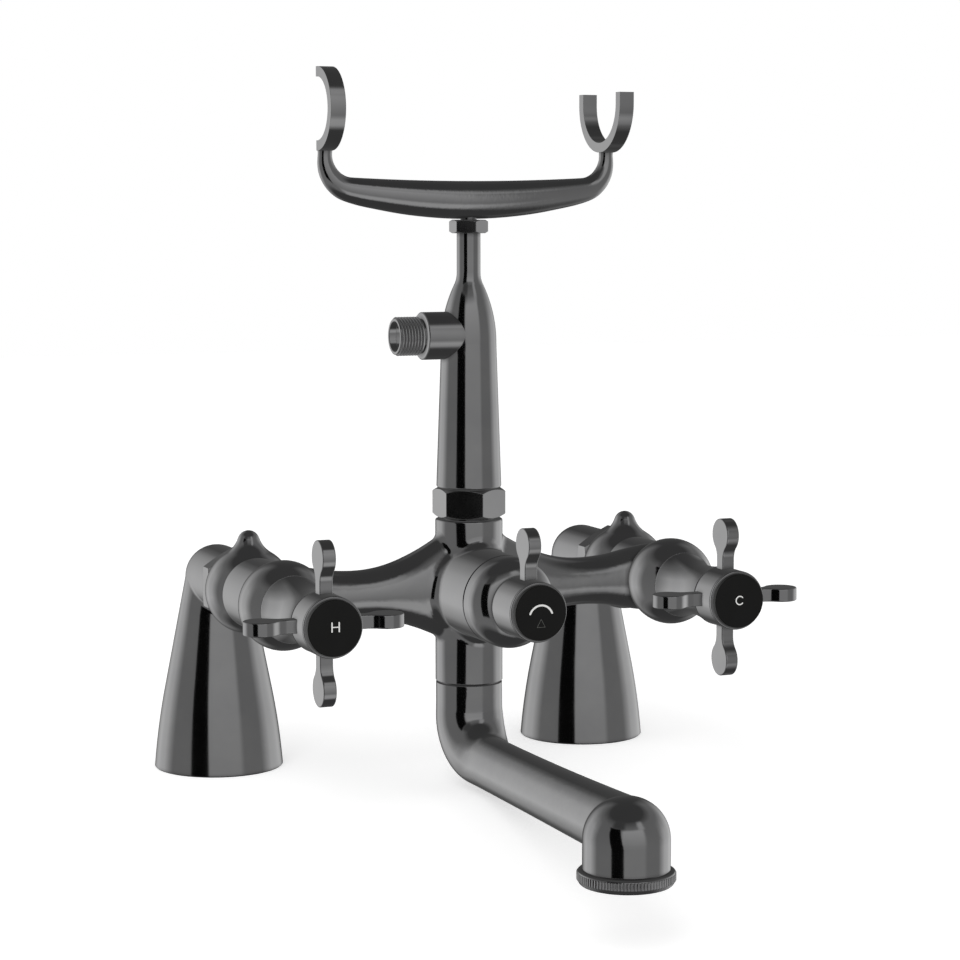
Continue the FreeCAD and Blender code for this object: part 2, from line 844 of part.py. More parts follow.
class Valve:
    """Where one cartridge, its shroud and its handle lie."""

    def __init__(self, name, x, seam, depth, standoff, hub_length):
        self.name = name
        self.at = (x, 0, s.axis_height)
        self.chamber_back = seam - depth
        self.seam = seam
        self.hub_start = seam + standoff
        self.hub_front = self.hub_start + hub_length
        self.seal_end = self.chamber_back + s.seal_thickness
        self.fixed_end = self.seal_end + s.disc_thickness
        self.disc_end = self.fixed_end + s.disc_thickness
        self.cage_end = self.disc_end + s.cage_length
        self.spindle_end = self.hub_start + s.spindle_grip


def cartridge(valve, windows_plane):
    """The brass sleeve: a cage round the discs, a bored barrel, a collar and a stem housing."""
    sleeve = new_body(valve.name + "_cartridge", valve.at, FORWARD)
    outer = s.chamber_radius - s.running_gap
    bore = s.spindle_radius + s.running_gap
    cage = outer - s.sleeve_wall
    revolve(sleeve, valve.name + "_sleeve", [
        line(cage, valve.seal_end),
        line(outer, valve.seal_end),
        line(outer, valve.seam),
        line(s.collar_radius, valve.seam),
        line(s.collar_radius, valve.seam + s.collar_length),
        line(s.stem_housing_radius, valve.seam + s.collar_length),
        line(s.stem_housing_radius, valve.seam + s.stem_housing_length),
        line(bore, valve.seam + s.stem_housing_length),
        line(bore, valve.cage_end),
        line(cage, valve.cage_end),
    ])
    half = s.sleeve_window / 2
    windows = outline(sleeve, valve.name + "_windows_outline", [
        line(half, valve.disc_end),
        line(half, valve.cage_end),
        line(-half, valve.cage_end),
        line(-half, valve.disc_end),
    ], windows_plane)
    pocket(sleeve, valve.name + "_windows", windows, outer * 4, middle=True)
    return keep(sleeve, sleeve.Name)


def base_seal(valve):
    outer = s.chamber_radius - s.running_gap
    ring(valve.name + "_base_seal", outer - s.seal_width, outer, valve.chamber_back, valve.seal_end,
         valve.at, FORWARD)


def ceramic_disc(label, valve, start, ports):
    """A disc with its ports, given as places across and up."""
    disc = new_body(label, valve.at, FORWARD)
    radius = s.chamber_radius - s.running_gap - s.sleeve_wall - s.running_gap
    revolve(disc, label + "_blank", [
        line(0, start),
        line(radius, start),
        line(radius, start + s.disc_thickness),
        line(0, start + s.disc_thickness),
    ])
    holes = circle(disc, label + "_port_circles", [(x, y, s.disc_port) for x, y in ports])
    pocket(disc, label + "_ports", holes, start * 2, back=True)
    return disc


def fixed_disc(valve, ports):
    label = valve.name + "_fixed_disc"
    keep(ceramic_disc(label, valve, valve.seal_end, ports), label)


def turning_disc(valve, ports):
    """The disc that the spindle's tongue turns, with the slot for that tongue."""
    label = valve.name + "_turning_disc"
    disc = ceramic_disc(label, valve, valve.fixed_end, ports)
    half = s.spindle_foot_width / 2 + s.running_gap
    long_half = s.chamber_radius
    slot = outline(disc, label + "_slot_outline", [
        line(half, valve.disc_end - s.spindle_tongue),
        line(half, valve.disc_end * 2),
        line(-half, valve.disc_end * 2),
        line(-half, valve.disc_end - s.spindle_tongue),
    ], valve.slot_plane)
    pocket(disc, label + "_slot", slot, long_half * 4, middle=True)
    keep(disc, label)


def spindle(valve):
    """The valve's stem: a foot bar with a tongue, a seal groove, and a flat for the handle."""
    label = valve.name + "_spindle"
    stem = new_body(label, valve.at, FORWARD)
    tongue = valve.disc_end - s.spindle_tongue + s.running_gap
    foot_end = valve.disc_end + s.spindle_foot_thickness
    ring_place = valve.seam - s.spindle_ring_place
    wire = s.spindle_ring_wire
    floor = groove_floor(s.spindle_radius + s.running_gap, wire)
    low = ring_place - wire / 2 - s.running_gap
    high = ring_place + wire / 2 + s.running_gap
    tap = s.screw_radius + s.thread_gap
    tap_end = valve.spindle_end - s.screw_bite - s.face_gap
    revolve(stem, label + "_stem", [
        line(0, valve.disc_end + s.running_gap),
        line(s.spindle_radius, valve.disc_end + s.running_gap),
        line(s.spindle_radius, low),
        line(floor, low),
        line(floor, high),
        line(s.spindle_radius, high),
        line(s.spindle_radius, valve.spindle_end - s.face_gap),
        line(tap, valve.spindle_end - s.face_gap),
        line(tap, tap_end),
        line(0, tap_end),
    ])
    half = s.spindle_foot_width / 2
    foot = outline(stem, label + "_foot_outline", [
        line(half, tongue),
        line(half, foot_end),
        line(-half, foot_end),
        line(-half, tongue),
    ], valve.slot_plane)
    pad(stem, label + "_foot", foot, s.spindle_foot_length, middle=True)
    flat = outline(stem, label + "_flat_outline", [
        line(-s.spindle_radius, s.spindle_flat),
        line(s.spindle_radius, s.spindle_flat),
        line(s.spindle_radius, s.spindle_radius * 2),
        line(-s.spindle_radius, s.spindle_radius * 2),
    ], "XY_Plane")
    flat.AttachmentOffset = FreeCAD.Placement(FreeCAD.Vector(0, 0, float(valve.hub_start)), UP)
    bind(flat, "AttachmentOffset.Base.z", valve.hub_start)
    pocket(stem, label + "_flat", flat, s.spindle_grip * 2, back=True)
    keep(stem, label)
    seal = o_ring(valve.name + "_spindle_seal", s.spindle_radius + s.running_gap, wire, ring_place,
                  valve.at, FORWARD)
    keep(seal, valve.name + "_spindle_seal")


def valve_shroud(valve):
    """A bell with a waist, screwed over the cartridge's collar."""
    label = valve.name + "_shroud"
    waist = valve.seam + s.shroud_waist_place
    mouth = valve.hub_start - s.face_gap
    base_drop = s.shroud_base_radius - s.shroud_waist_radius
    mouth_drop = s.shroud_mouth_radius - s.shroud_waist_radius
    base_run = waist - valve.seam
    mouth_run = mouth - waist
    base_curve = (base_drop * base_drop + base_run * base_run) / (base_drop * 2)
    mouth_curve = (mouth_drop * mouth_drop + mouth_run * mouth_run) / (mouth_drop * 2)
    collar = s.collar_radius + s.thread_gap
    collar_end = valve.seam + s.collar_length + s.face_gap
    turned(label, [
        line(collar, valve.seam),
        line(s.shroud_base_radius, valve.seam),
        arc(s.shroud_waist_radius, waist, base_curve, -1),
        arc(s.shroud_mouth_radius, mouth, mouth_curve, -1),
        line(s.shroud_bore, mouth),
        line(s.shroud_bore, collar_end + s.shroud_cone),
        line(collar, collar_end),
    ], valve.at, FORWARD)


def diverter_shroud(valve):
    """A short drum closed by a dome, screwed over the diverter's collar."""
    label = valve.name + "_shroud"
    mouth = valve.hub_start - s.face_gap
    dome_centre = s.boss_radius - s.diverter_dome_curve
    dome_run = side(s.diverter_dome_curve, s.diverter_dome_mouth - dome_centre)
    collar = s.collar_radius + s.thread_gap
    collar_end = valve.seam + s.collar_length + s.face_gap
    turned(label, [
        line(collar, valve.seam),
        line(s.boss_radius - s.boss_edge, valve.seam),
        line(s.boss_radius, valve.seam + s.boss_edge),
        line(s.boss_radius, mouth - dome_run),
        arc(s.diverter_dome_mouth, mouth, s.diverter_dome_curve, 1),
        line(s.shroud_bore, mouth),
        line(s.shroud_bore, collar_end + s.shroud_cone),
        line(collar, collar_end),
    ], valve.at, FORWARD)


def lever(name, valve, angle):
    """A flat paddle: a neck that widens through hollow curves into a round lobe."""
    body = new_body(name, valve.at, FORWARD * FreeCAD.Rotation(FreeCAD.Vector(0, 0, 1), angle))
    middle = valve.hub_front - s.lever_place
    neck = s.lever_neck / 2
    lobe = s.lever_reach - s.lobe_radius
    spread = s.lever_curve + s.lobe_radius
    offset = s.lever_curve + neck
    run = side(spread, offset)
    share = s.lobe_radius / spread
    root_place = s.hub_radius - s.hub_lip * 2
    touch_x = lobe - run * share
    touch_z = offset * share
    paddle = outline(body, name + "_outline", [
        line(root_place, middle - neck),
        line(lobe - run, middle - neck),
        arc(touch_x, middle - touch_z, s.lever_curve, -1),
        arc(touch_x, middle + touch_z, s.lobe_radius, 1, large=True),
        arc(lobe - run, middle + neck, s.lever_curve, -1),
        line(root_place, middle + neck),
    ])
    blank = pad(body, name + "_blank", paddle, s.lever_thickness, middle=True)
    doc.recompute()
    edges = [f"Edge{n}" for n, edge in enumerate(body.Shape.Edges, start=1)
             if abs(edge.tangentAt(edge.FirstParameter).dot(body.Placement.Rotation.multVec(
                 FreeCAD.Vector(0, 1, 0)))) < 0.01 and outside_hub(edge, valve)]
    rounding = body.newObject("PartDesign::Fillet", name + "_rounding")
    rounding.Base = (blank, edges)
    bind(rounding, "Radius", s.lever_edge)
    return body


def outside_hub(edge, valve):
    """True for edges that run away from the hub's axis or lie beyond its surface."""
    axis = FreeCAD.Vector(*[float(size(c)) for c in valve.at])
    middle = edge.valueAt((edge.FirstParameter + edge.LastParameter) / 2) - axis
    return math.hypot(middle.x, middle.z) > float(s.hub_radius) - float(s.hub_lip)


def handle(valve, angles):
    """A hub over the spindle's end, with its levers at the given angles."""
    label = valve.name + "_handle"
    hub = new_body(valve.name + "_hub", valve.at, FORWARD)
    recess = s.hub_radius - s.hub_lip
    floor = valve.hub_front - s.index_recess
    web = valve.spindle_end + s.hub_web
    rim_start = valve.hub_front - s.rim_width
    groove_start = rim_start - s.rim_groove
    revolve(hub, valve.name + "_hub_turned", [
        line(0, valve.hub_start),
        line(s.hub_radius - s.hub_edge, valve.hub_start),
        line(s.hub_radius, valve.hub_start + s.hub_edge),
        line(s.hub_radius, groove_start),
        line(s.hub_radius - s.rim_groove, groove_start),
        line(s.hub_radius - s.rim_groove, rim_start),
        line(s.hub_radius, rim_start),
        line(s.hub_radius, valve.hub_front - s.hub_edge),
        arc(s.hub_radius - s.hub_edge, valve.hub_front, s.hub_edge, 1),
        line(recess, valve.hub_front),
        line(recess, floor),
        line(s.screw_pocket_radius, floor),
        line(s.screw_pocket_radius, web),
        line(0, web),
    ])
    solids = [hub]
    for angle in angles:
        solids.append(lever(f"{valve.name}_lever_{angle}", valve, angle))
    whole = fuse(valve.name + "_handle_blank", solids)
    bore = s.spindle_radius + s.running_gap
    socket = new_body(valve.name + "_socket", valve.at, FORWARD)
    flat = s.spindle_flat + s.running_gap
    chord = side(bore, flat)
    profile = outline(socket, valve.name + "_socket_outline", [
        line(-chord, flat),
        arc(chord, flat, bore, 1, large=True),
    ], "XY_Plane")
    profile.AttachmentOffset = FreeCAD.Placement(FreeCAD.Vector(0, 0, float(valve.hub_start) - 1), UP)
    bind(profile, "AttachmentOffset.Base.z", valve.hub_start - 1)
    pad(socket, valve.name + "_socket_pad", profile, s.spindle_grip + 1)
    hub_back = (valve.at[0], -valve.hub_start, valve.at[2])
    screw_hole = cylinder(valve.name + "_screw_hole", s.screw_radius + s.face_gap,
                          valve.hub_front - valve.hub_start, hub_back, FORWARD)
    holes = fuse(valve.name + "_handle_holes", [socket, screw_hole])
    keep(cut(label, whole, holes), label)


def handle_screw(valve):
    """A socket screw that holds the handle on the spindle."""
    label = valve.name + "_handle_screw"
    screw = new_body(label, valve.at, FORWARD)
    web = valve.spindle_end + s.hub_web
    head_end = web + s.screw_head_length
    revolve(screw, label + "_turned", [
        line(0, valve.spindle_end - s.screw_bite),
        line(s.screw_radius, valve.spindle_end - s.screw_bite),
        line(s.screw_radius, web),
        line(s.screw_head_radius, web),
        line(s.screw_head_radius, head_end),
        line(0, head_end),
    ])
    drive = hexagon(screw, label + "_drive_outline", s.screw_radius * 1.5)
    drive.AttachmentOffset = FreeCAD.Placement(FreeCAD.Vector(0, 0, float(head_end)), UP)
    bind(drive, "AttachmentOffset.Base.z", head_end)
    pocket(screw, label + "_drive", drive, s.screw_head_length / 2)
    keep(screw, label)


def index_disc(valve):
    """The dark disc that closes the hub's front and stands out of it."""
    start = valve.hub_front - s.index_recess
    face = start + s.index_thickness
    recess = s.hub_radius - s.hub_lip
    ring_outer = recess - s.index_gap
    label = valve.name + "_index"
    turned(label, [
        line(0, start),
        line(ring_outer, start),
        line(ring_outer, face - s.index_edge),
        arc(ring_outer - s.index_edge, face, s.index_edge, 1),
        line(0, face),
    ], valve.at, FORWARD)


# Spout and aerator

def round_tube(name, stations):
    """A smooth tube through round sections given as (place, turn, radius)."""
    rounds = []
    for number, (at, turn, radius) in enumerate(stations):
        section = doc.addObject("Part::Circle", f"{name}_round_{number}")
        bind(section, "Radius", radius)
        place(section, at, turn)
        rounds.append(section)
    loft = doc.addObject("Part::Loft", name)
    loft.Sections = rounds
    loft.Solid = True
    return loft


def bend_span(turn, inner_y, inner_z):
    """How far the spout's outer side lies from the centre of its inner bend, at a turn."""
    back = s.spout_top_radius - s.column_forward
    low = spout_run - s.spout_run_radius
    outer_y = back - s.spout_outer_bend
    outer_z = low + s.spout_outer_bend
    behind = back - inner_y
    below = inner_z - low
    side_height = inner_z * math.cos(turn) - behind * math.sin(turn)
    if float(side_height) > float(outer_z * math.cos(turn)):
        return behind / math.cos(turn)
    floor_place = inner_y * math.sin(turn) + below * math.cos(turn)
    if float(floor_place) < float(outer_y * math.sin(turn)):
        return below / math.sin(turn)
    across = inner_y - outer_y
    above = inner_z - outer_z
    along = across * math.cos(turn) - above * math.sin(turn)
    beside = across * math.sin(turn) + above * math.cos(turn)
    return side(s.spout_outer_bend, beside) - along


def spout_stations(top, bore=None):
    """Down from the swivel, round the bend and forward to the head, in nearly even steps.

    The bend is wide outside and tight inside, and the run grows and climbs towards the
    head. With a bore, every round has that radius instead."""
    inner_y = -s.column_forward - s.spout_top_radius - s.spout_inner_bend
    inner_z = spout_run + s.spout_run_radius + s.spout_inner_bend
    drop_steps = 3
    bend_steps = 8
    run_steps = 16
    stations = []
    for step in range(drop_steps):
        height = top + (inner_z - top) * (step / drop_steps)
        stations.append(((0, -s.column_forward, height), UP, bore or s.spout_top_radius))
    for step in range(bend_steps + 1):
        share = step / bend_steps
        turn = math.radians(90 * share)
        span = bend_span(turn, inner_y, inner_z)
        middle = (span + s.spout_inner_bend) / 2
        at = (0, inner_y + middle * math.cos(turn), inner_z - middle * math.sin(turn))
        tilt = FreeCAD.Rotation(FreeCAD.Vector(1, 0, 0), -90 * share)
        stations.append((at, tilt, bore or (span - s.spout_inner_bend) / 2))
    head_y = -s.column_forward - s.spout_reach
    for step in range(1, run_steps + 1):
        share = step / run_steps
        at = (0, inner_y + (head_y - inner_y) * share, spout_run + s.spout_climb * share ** 2)
        stations.append((at, tilt, bore or s.spout_run_radius + s.spout_growth * share ** 2))
    return stations


def spout():
    top = column_foot - s.face_gap
    tube = round_tube("spout_tube", spout_stations(top))
    mouth = top + s.spigot_length + 1
    way = round_tube("spout_bore", spout_stations(mouth, s.spout_bore))
    middle = (0, -s.column_forward, 0)
    spigot = new_body("spout_spigot", middle)
    spigot_end = top + s.spigot_length
    wire_size = s.o_ring_wire
    wall = s.spigot_radius + s.running_gap
    floor = groove_floor(wall, wire_size)
    steps = [line(0, top - s.spout_wall), line(s.spigot_radius, top - s.spout_wall)]
    for place_up in (s.o_ring_low, s.o_ring_high):
        low = top + place_up - wire_size / 2 - s.running_gap
        high = top + place_up + wire_size / 2 + s.running_gap
        steps += [line(s.spigot_radius, low), line(floor, low)]
        steps += [line(floor, high), line(s.spigot_radius, high)]
    steps += [line(s.spigot_radius, spigot_end), line(0, spigot_end)]
    revolve(spigot, "spout_spigot_turned", steps)
    head_top = spout_run + s.spout_climb + s.spout_run_radius + s.spout_growth
    head = new_body("spout_head", (0, -s.column_forward - s.spout_reach, 0))
    revolve(head, "spout_head_turned", [
        line(0, head_foot),
        line(s.head_radius - s.spout_edge, head_foot),
        line(s.head_radius, head_foot + s.spout_edge),
        line(s.head_radius, head_top - s.head_shoulder),
        arc(s.head_radius - s.head_shoulder, head_top, s.head_shoulder, 1),
        line(0, head_top),
    ])
    outer = fuse("spout_outer", [tube, spigot, head])
    outlet = new_body("spout_outlet", (0, -s.column_forward - s.spout_reach, 0))
    thread_end = aerator_thread_top + s.aerator_washer_thickness
    revolve(outlet, "spout_outlet_turned", [
        line(0, head_foot - 1),
        line(s.aerator_thread_radius + s.thread_gap, head_foot - 1),
        line(s.aerator_thread_radius + s.thread_gap, thread_end),
        line(s.outlet_bore, thread_end),
        line(s.outlet_bore, spout_run),
        line(s.spout_bore, spout_run + s.spout_bore),
        line(0, spout_run + s.spout_bore),
    ])
    bored = cut("spout_bored", outer, way)
    threaded = cut("spout_threaded", bored, outlet)
    keep(cut("spout", threaded, retainer_slot(top)), "spout")


def retainer_slot(top):
    """The slot round the back of the spigot in which the retaining screw stops the swing."""
    slot = new_body("retainer_slot", (0, -s.column_forward, 0))
    middle = top + s.face_gap + s.retainer_place
    half = s.retainer_radius + s.face_gap
    sketch = outline(slot, "retainer_slot_outline", [
        line(s.spigot_radius - s.retainer_groove, middle - half),
        line(s.spigot_radius * 2, middle - half),
        line(s.spigot_radius * 2, middle + half),
        line(s.spigot_radius - s.retainer_groove, middle + half),
    ], "YZ_Plane")
    sweep = slot.newObject("PartDesign::Revolution", "retainer_slot_sweep")
    sweep.Profile = (sketch, [""])
    sweep.ReferenceAxis = (sketch, ["V_Axis"])
    bind(sweep, "Angle", s.spout_swing * 2 + s.retainer_clear)
    sweep.Midplane = True
    return slot


def spout_seals():
    top = column_foot - s.face_gap
    wall = s.spigot_radius + s.running_gap
    rings = []
    for name, place_up in (("lower", s.o_ring_low), ("upper", s.o_ring_high)):
        rings.append(o_ring(f"spout_{name}_seal", wall, s.o_ring_wire, place_up,
                            (0, -s.column_forward, top)))
    both = doc.addObject("Part::Compound", "spout_seals")
    both.Links = rings
    keep(both, "spout_seals")


def retaining_screw():
    """A headless screw through the back of the column into the spigot's slot."""
    label = "spout_retaining_screw"
    start = s.column_radius - s.face_gap
    end = s.spigot_radius - s.retainer_groove + s.face_gap
    screw = new_body(label, (0, start - s.column_forward, column_foot + s.retainer_place), FORWARD)
    length = start - end
    revolve(screw, label + "_turned", [
        line(0, 0),
        line(s.retainer_radius, 0),
        line(s.retainer_radius, length - s.retainer_radius / 2),
        line(s.retainer_radius / 2, length),
        line(0, length),
    ])
    drive = hexagon(screw, label + "_drive_outline", s.retainer_radius)
    pocket(screw, label + "_drive", drive, s.retainer_radius, back=True)
    keep(screw, label)


def aerator():
    at = (0, -s.column_forward - s.spout_reach, 0)
    edge = s.aerator_ring_edge
    turned("aerator_ring", [
        line(s.aerator_bore - s.aerator_lip, aerator_foot),
        line(s.aerator_ring_radius - edge, aerator_foot),
        line(s.aerator_ring_radius, aerator_foot + edge),
        line(s.aerator_ring_radius, aerator_top - s.spout_edge),
        line(s.aerator_ring_radius - s.spout_edge, aerator_top),
        line(s.aerator_thread_radius, aerator_top),
        line(s.aerator_thread_radius, aerator_thread_top),
        line(s.aerator_bore, aerator_thread_top),
        line(s.aerator_bore, aerator_foot + s.aerator_lip),
        line(s.aerator_bore - s.aerator_lip, aerator_foot + s.aerator_lip),
    ], at)
    ring("aerator_washer", s.aerator_bore - s.aerator_lip, s.aerator_thread_radius - s.face_gap,
         aerator_thread_top, aerator_thread_top + s.aerator_washer_thickness, at)
    insert = new_body("aerator_insert", at)
    outer = s.aerator_bore - s.running_gap
    low = aerator_foot + s.aerator_lip
    plate = low + s.aerator_plate
    revolve(insert, "aerator_cup", [
        line(0, low),
        line(outer, low),
        line(outer, aerator_thread_top),
        line(outer - s.aerator_lip, aerator_thread_top),
        line(outer - s.aerator_lip, plate),
        line(0, plate),
    ])
    for number in (1, 2, 3):
        spots = []
        for step in range(6 * number):
            turn = math.radians(360 * step / (6 * number))
            radius = s.aerator_hole_pitch * number
            spots.append((radius * math.cos(turn), radius * math.sin(turn), s.aerator_hole_radius))
        holes = circle(insert, f"aerator_holes_{number}", spots)
        holes.AttachmentOffset = FreeCAD.Placement(FreeCAD.Vector(0, 0, float(low)), UP)
        bind(holes, "AttachmentOffset.Base.z", low)
        pocket(insert, f"aerator_hole_ring_{number}", holes, s.aerator_plate * 4, middle=True)
    keep(insert, "aerator_insert")


# Riser, hose outlet and cradle

def riser():
    at = (0, -s.column_forward, 0)
    side_axis = (0, -s.column_forward, hose_height)
    body = new_body("riser_taper", at)
    fall = s.riser_shoulder_radius - s.riser_pipe_radius
    run = riser_neck - riser_shoulder
    curves = (fall * fall + run * run) / (fall * 2)
    neck_curve = curves - s.riser_shoulder_curve
    share = neck_curve / curves
    touch_radius = s.riser_pipe_radius + neck_curve + (fall - curves) * share
    touch_height = riser_neck - run * share
    revolve(body, "riser_turned", [
        line(0, riser_foot),
        line(s.riser_foot_radius - s.riser_edge, riser_foot),
        arc(s.riser_foot_radius, riser_foot + s.riser_edge, s.riser_edge, 1),
        line(s.riser_shoulder_radius, riser_shoulder),
        arc(touch_radius, touch_height, s.riser_shoulder_curve, 1),
        arc(s.riser_pipe_radius, riser_neck, neck_curve, -1),
        line(s.riser_pipe_radius, riser_pipe_top),
        line(s.riser_pin_radius, riser_pipe_top),
        line(s.riser_pin_radius, riser_pipe_top + s.riser_pin_length),
        line(0, riser_pipe_top + s.riser_pin_length),
    ])
    boss = new_body("hose_boss", side_axis, LEFT)
    revolve(boss, "hose_boss_turned", [
        line(0, 0),
        line(s.hose_boss_radius, 0),
        line(s.hose_boss_radius, s.hose_boss_reach - s.hose_rim),
        line(s.hose_boss_radius - s.hose_rim, s.hose_boss_reach),
        line(0, s.hose_boss_reach),
    ])
    outer = fuse("riser_outer", [body, boss])
    tail_thread = cylinder("riser_tail_thread", s.riser_tail_radius + s.thread_gap,
                           s.nipple_grip + s.face_gap, (0, -s.column_forward, riser_foot))
    way = cylinder("riser_bore", s.riser_bore, riser_way_top - riser_foot,
                   (0, -s.column_forward, riser_foot))
    branch = cylinder("hose_branch", s.hose_shank_radius + s.thread_gap, s.hose_boss_reach + 1,
                      side_axis, LEFT)
    inner = fuse("riser_inner", [tail_thread, way, branch])
    keep(cut("riser", outer, inner), "riser")


def riser_union():
    at = (0, -s.column_forward, 0)
    thread_end = column_top + s.riser_thread_length
    flange = thread_end + s.washer_thickness
    flange_end = flange + s.nipple_flange_thickness
    union_nut("riser_nut", s.riser_flats, riser_nut_foot, s.riser_nut_length, s.riser_thread_radius,
              flange_end + s.running_gap, s.riser_tail_radius + s.face_gap, at)
    ring("riser_washer", s.riser_bore, s.riser_tail_flange, thread_end, flange, at)
    flanged_nipple("riser_tail_nipple", s.riser_tail_flange, s.riser_tail_radius, s.riser_bore,
                   flange, s.nipple_flange_thickness, riser_foot + s.nipple_grip, at)


def hose_outlet():
    """The threaded nipple for the shower hose, with a non-return valve inside it."""
    at = (0, -s.column_forward, hose_height)
    inlet = s.hose_boss_reach - s.hose_shank_length
    seat = inlet + s.hose_inlet_length
    chamfer = s.hose_thread_radius - s.hose_shank_radius
    turned("hose_nipple", [
        line(s.hose_inlet, inlet),
        line(s.hose_shank_radius, inlet),
        line(s.hose_shank_radius, s.hose_boss_reach),
        line(s.hose_thread_radius, s.hose_boss_reach),
        line(s.hose_thread_radius, s.hose_thread_reach - chamfer),
        line(s.hose_thread_radius - chamfer, s.hose_thread_reach),
        line(s.hose_bore, s.hose_thread_reach),
        line(s.hose_bore, seat),
        line(s.hose_inlet, seat),
    ], at, LEFT)
    shell = new_body("check_valve_body", at, LEFT)
    shell_outer = s.hose_bore - s.running_gap
    end = seat + s.check_shell_length
    bridge = end - s.check_bridge
    stem_hole = s.poppet_stem_radius + s.running_gap
    revolve(shell, "check_valve_turned", [
        line(s.check_seat, seat),
        line(shell_outer, seat),
        line(shell_outer, end),
        line(stem_hole, end),
        line(stem_hole, bridge),
        line(s.check_bore, bridge),
        line(s.check_bore, seat + s.check_seat_length),
        line(s.check_seat, seat + s.check_seat_length),
    ])
    spots = []
    for step in range(6):
        turn = math.radians(60 * step)
        spots.append((s.check_window_offset * math.cos(turn), s.check_window_offset * math.sin(turn),
                      s.check_window))
    windows = circle(shell, "check_windows_circles", spots)
    windows.AttachmentOffset = FreeCAD.Placement(FreeCAD.Vector(0, 0, float(end)), UP)
    bind(windows, "AttachmentOffset.Base.z", end)
    pocket(shell, "check_windows", windows, s.check_bridge * 2)
    keep(shell, "check_valve_body")
    head = seat + s.check_seat_length + s.running_gap
    turned("check_valve_poppet", [
        line(0, head),
        line(s.poppet_radius, head),
        line(s.poppet_radius, head + s.poppet_head),
        line(s.poppet_stem_radius, head + s.poppet_head),
        line(s.poppet_stem_radius, head + s.poppet_head + s.poppet_stem_length),
        line(0, head + s.poppet_head + s.poppet_stem_length),
    ], at, LEFT)


def cradle_nut():
    at = (0, -s.column_forward, 0)
    nut = new_body("cradle_nut", at)
    foot = riser_pipe_top - s.collar_height
    chamfered_hexagon(nut, s.collar_flats, foot, s.collar_height, s.collar_chamfer)
    groove(nut, "cradle_nut_hole", [
        line(0, foot - 1),
        line(s.riser_pipe_radius + s.running_gap, foot - 1),
        line(s.riser_pipe_radius + s.running_gap, riser_pipe_top + 1),
        line(0, riser_pipe_top + 1),
    ])
    keep(nut, "cradle_nut")


def cradle_stations():
    """From one stem's top round both bends to the other, thickest at the middle."""
    slope = math.degrees(math.asin(float(stem_bend_place) / float(bow_radius - s.stem_bend)))
    bow_length = math.radians(slope) * float(bow_radius)
    length = bow_length + math.radians(90 - slope) * float(s.stem_bend)

    def radius_at(along):
        """The bar stays thick about its middle and thins towards the stems."""
        return s.bar_radius - (s.bar_radius - s.stem_radius) * (along / length) ** float(s.bar_taper_power)

    half = []
    for share in (0.0, 0.2, 0.4, 0.6, 0.8, 1.0):
        angle = math.radians(slope * share)
        half.append((bow_radius * math.sin(angle), bow_centre - bow_radius * math.cos(angle), slope * share,
                     radius_at(bow_length * share)))
    bend_steps = 5
    for step in range(1, bend_steps + 1):
        share = step / bend_steps
        turned_by = slope + (90 - slope) * share
        angle = math.radians(turned_by)
        half.append((stem_bend_place + s.stem_bend * math.sin(angle),
                     stem_bend_height - s.stem_bend * math.cos(angle),
                     turned_by, radius_at(bow_length + (length - bow_length) * share)))
    half.append((s.stem_spread, stem_top, 90, s.stem_radius))
    stations = []
    for way, rows in ((-1, reversed(half)), (1, half[1:])):
        for x, z, angle, radius in rows:
            tilt = FreeCAD.Rotation(FreeCAD.Vector(0, 1, 0), 90 - angle * way)
            stations.append(((x * way, -s.column_forward, z), tilt, radius))
    return stations


def cradle_bar():
    """A bar thick at the middle that tapers and turns up into two stems."""
    bar = round_tube("cradle_bar_blank", cradle_stations())
    holes = [cylinder("cradle_socket", s.riser_pin_radius + s.running_gap, s.riser_pin_length + s.face_gap,
                      (0, -s.column_forward, riser_pipe_top))]
    for name, way in (("left", -1), ("right", 1)):
        holes.append(cylinder(f"{name}_stem_hole", s.fork_pin_radius + s.running_gap,
                              s.fork_pin_length + s.face_gap + s.stem_radius,
                              (s.stem_spread * way, -s.column_forward,
                               stem_top - s.fork_pin_length - s.face_gap)))
    keep(cut("cradle_bar", bar, fuse("cradle_holes", holes)), "cradle_bar")


def fork(label, x, radius, prong, spin):
    """A flat U of round bend and short straight prongs, with a pin that enters the stem."""
    centre = (x, -s.column_forward, stem_top + radius)
    bow = new_body(label + "_bow", centre, ACROSS * FreeCAD.Rotation(FreeCAD.Vector(0, 0, 1), spin))
    inner = radius - s.fork_thickness
    profile = outline(bow, label + "_outline", [
        line(-radius, prong),
        line(-radius, 0),
        arc(0, -radius, radius, 1),
        arc(radius, 0, radius, 1),
        line(radius, prong),
        line(inner, prong),
        line(inner, 0),
        arc(0, -inner, inner, -1),
        arc(-inner, 0, inner, -1),
        line(-inner, prong),
    ], "XY_Plane")
    pad(bow, label + "_blank", profile, s.fork_width, middle=True)
    pin = cylinder(label + "_pin", s.fork_pin_radius, s.fork_pin_length + s.fork_thickness / 2,
                   (x, -s.column_forward, stem_top - s.fork_pin_length))
    keep(fuse(label, [bow, pin]), label)


for side_name, way in (("hot", -1), ("cold", 1)):
    place_across = s.pillar_spacing / 2 * way
    pillar(side_name + "_pillar", place_across)
    pillar_union(side_name, place_across)
mixer_body()

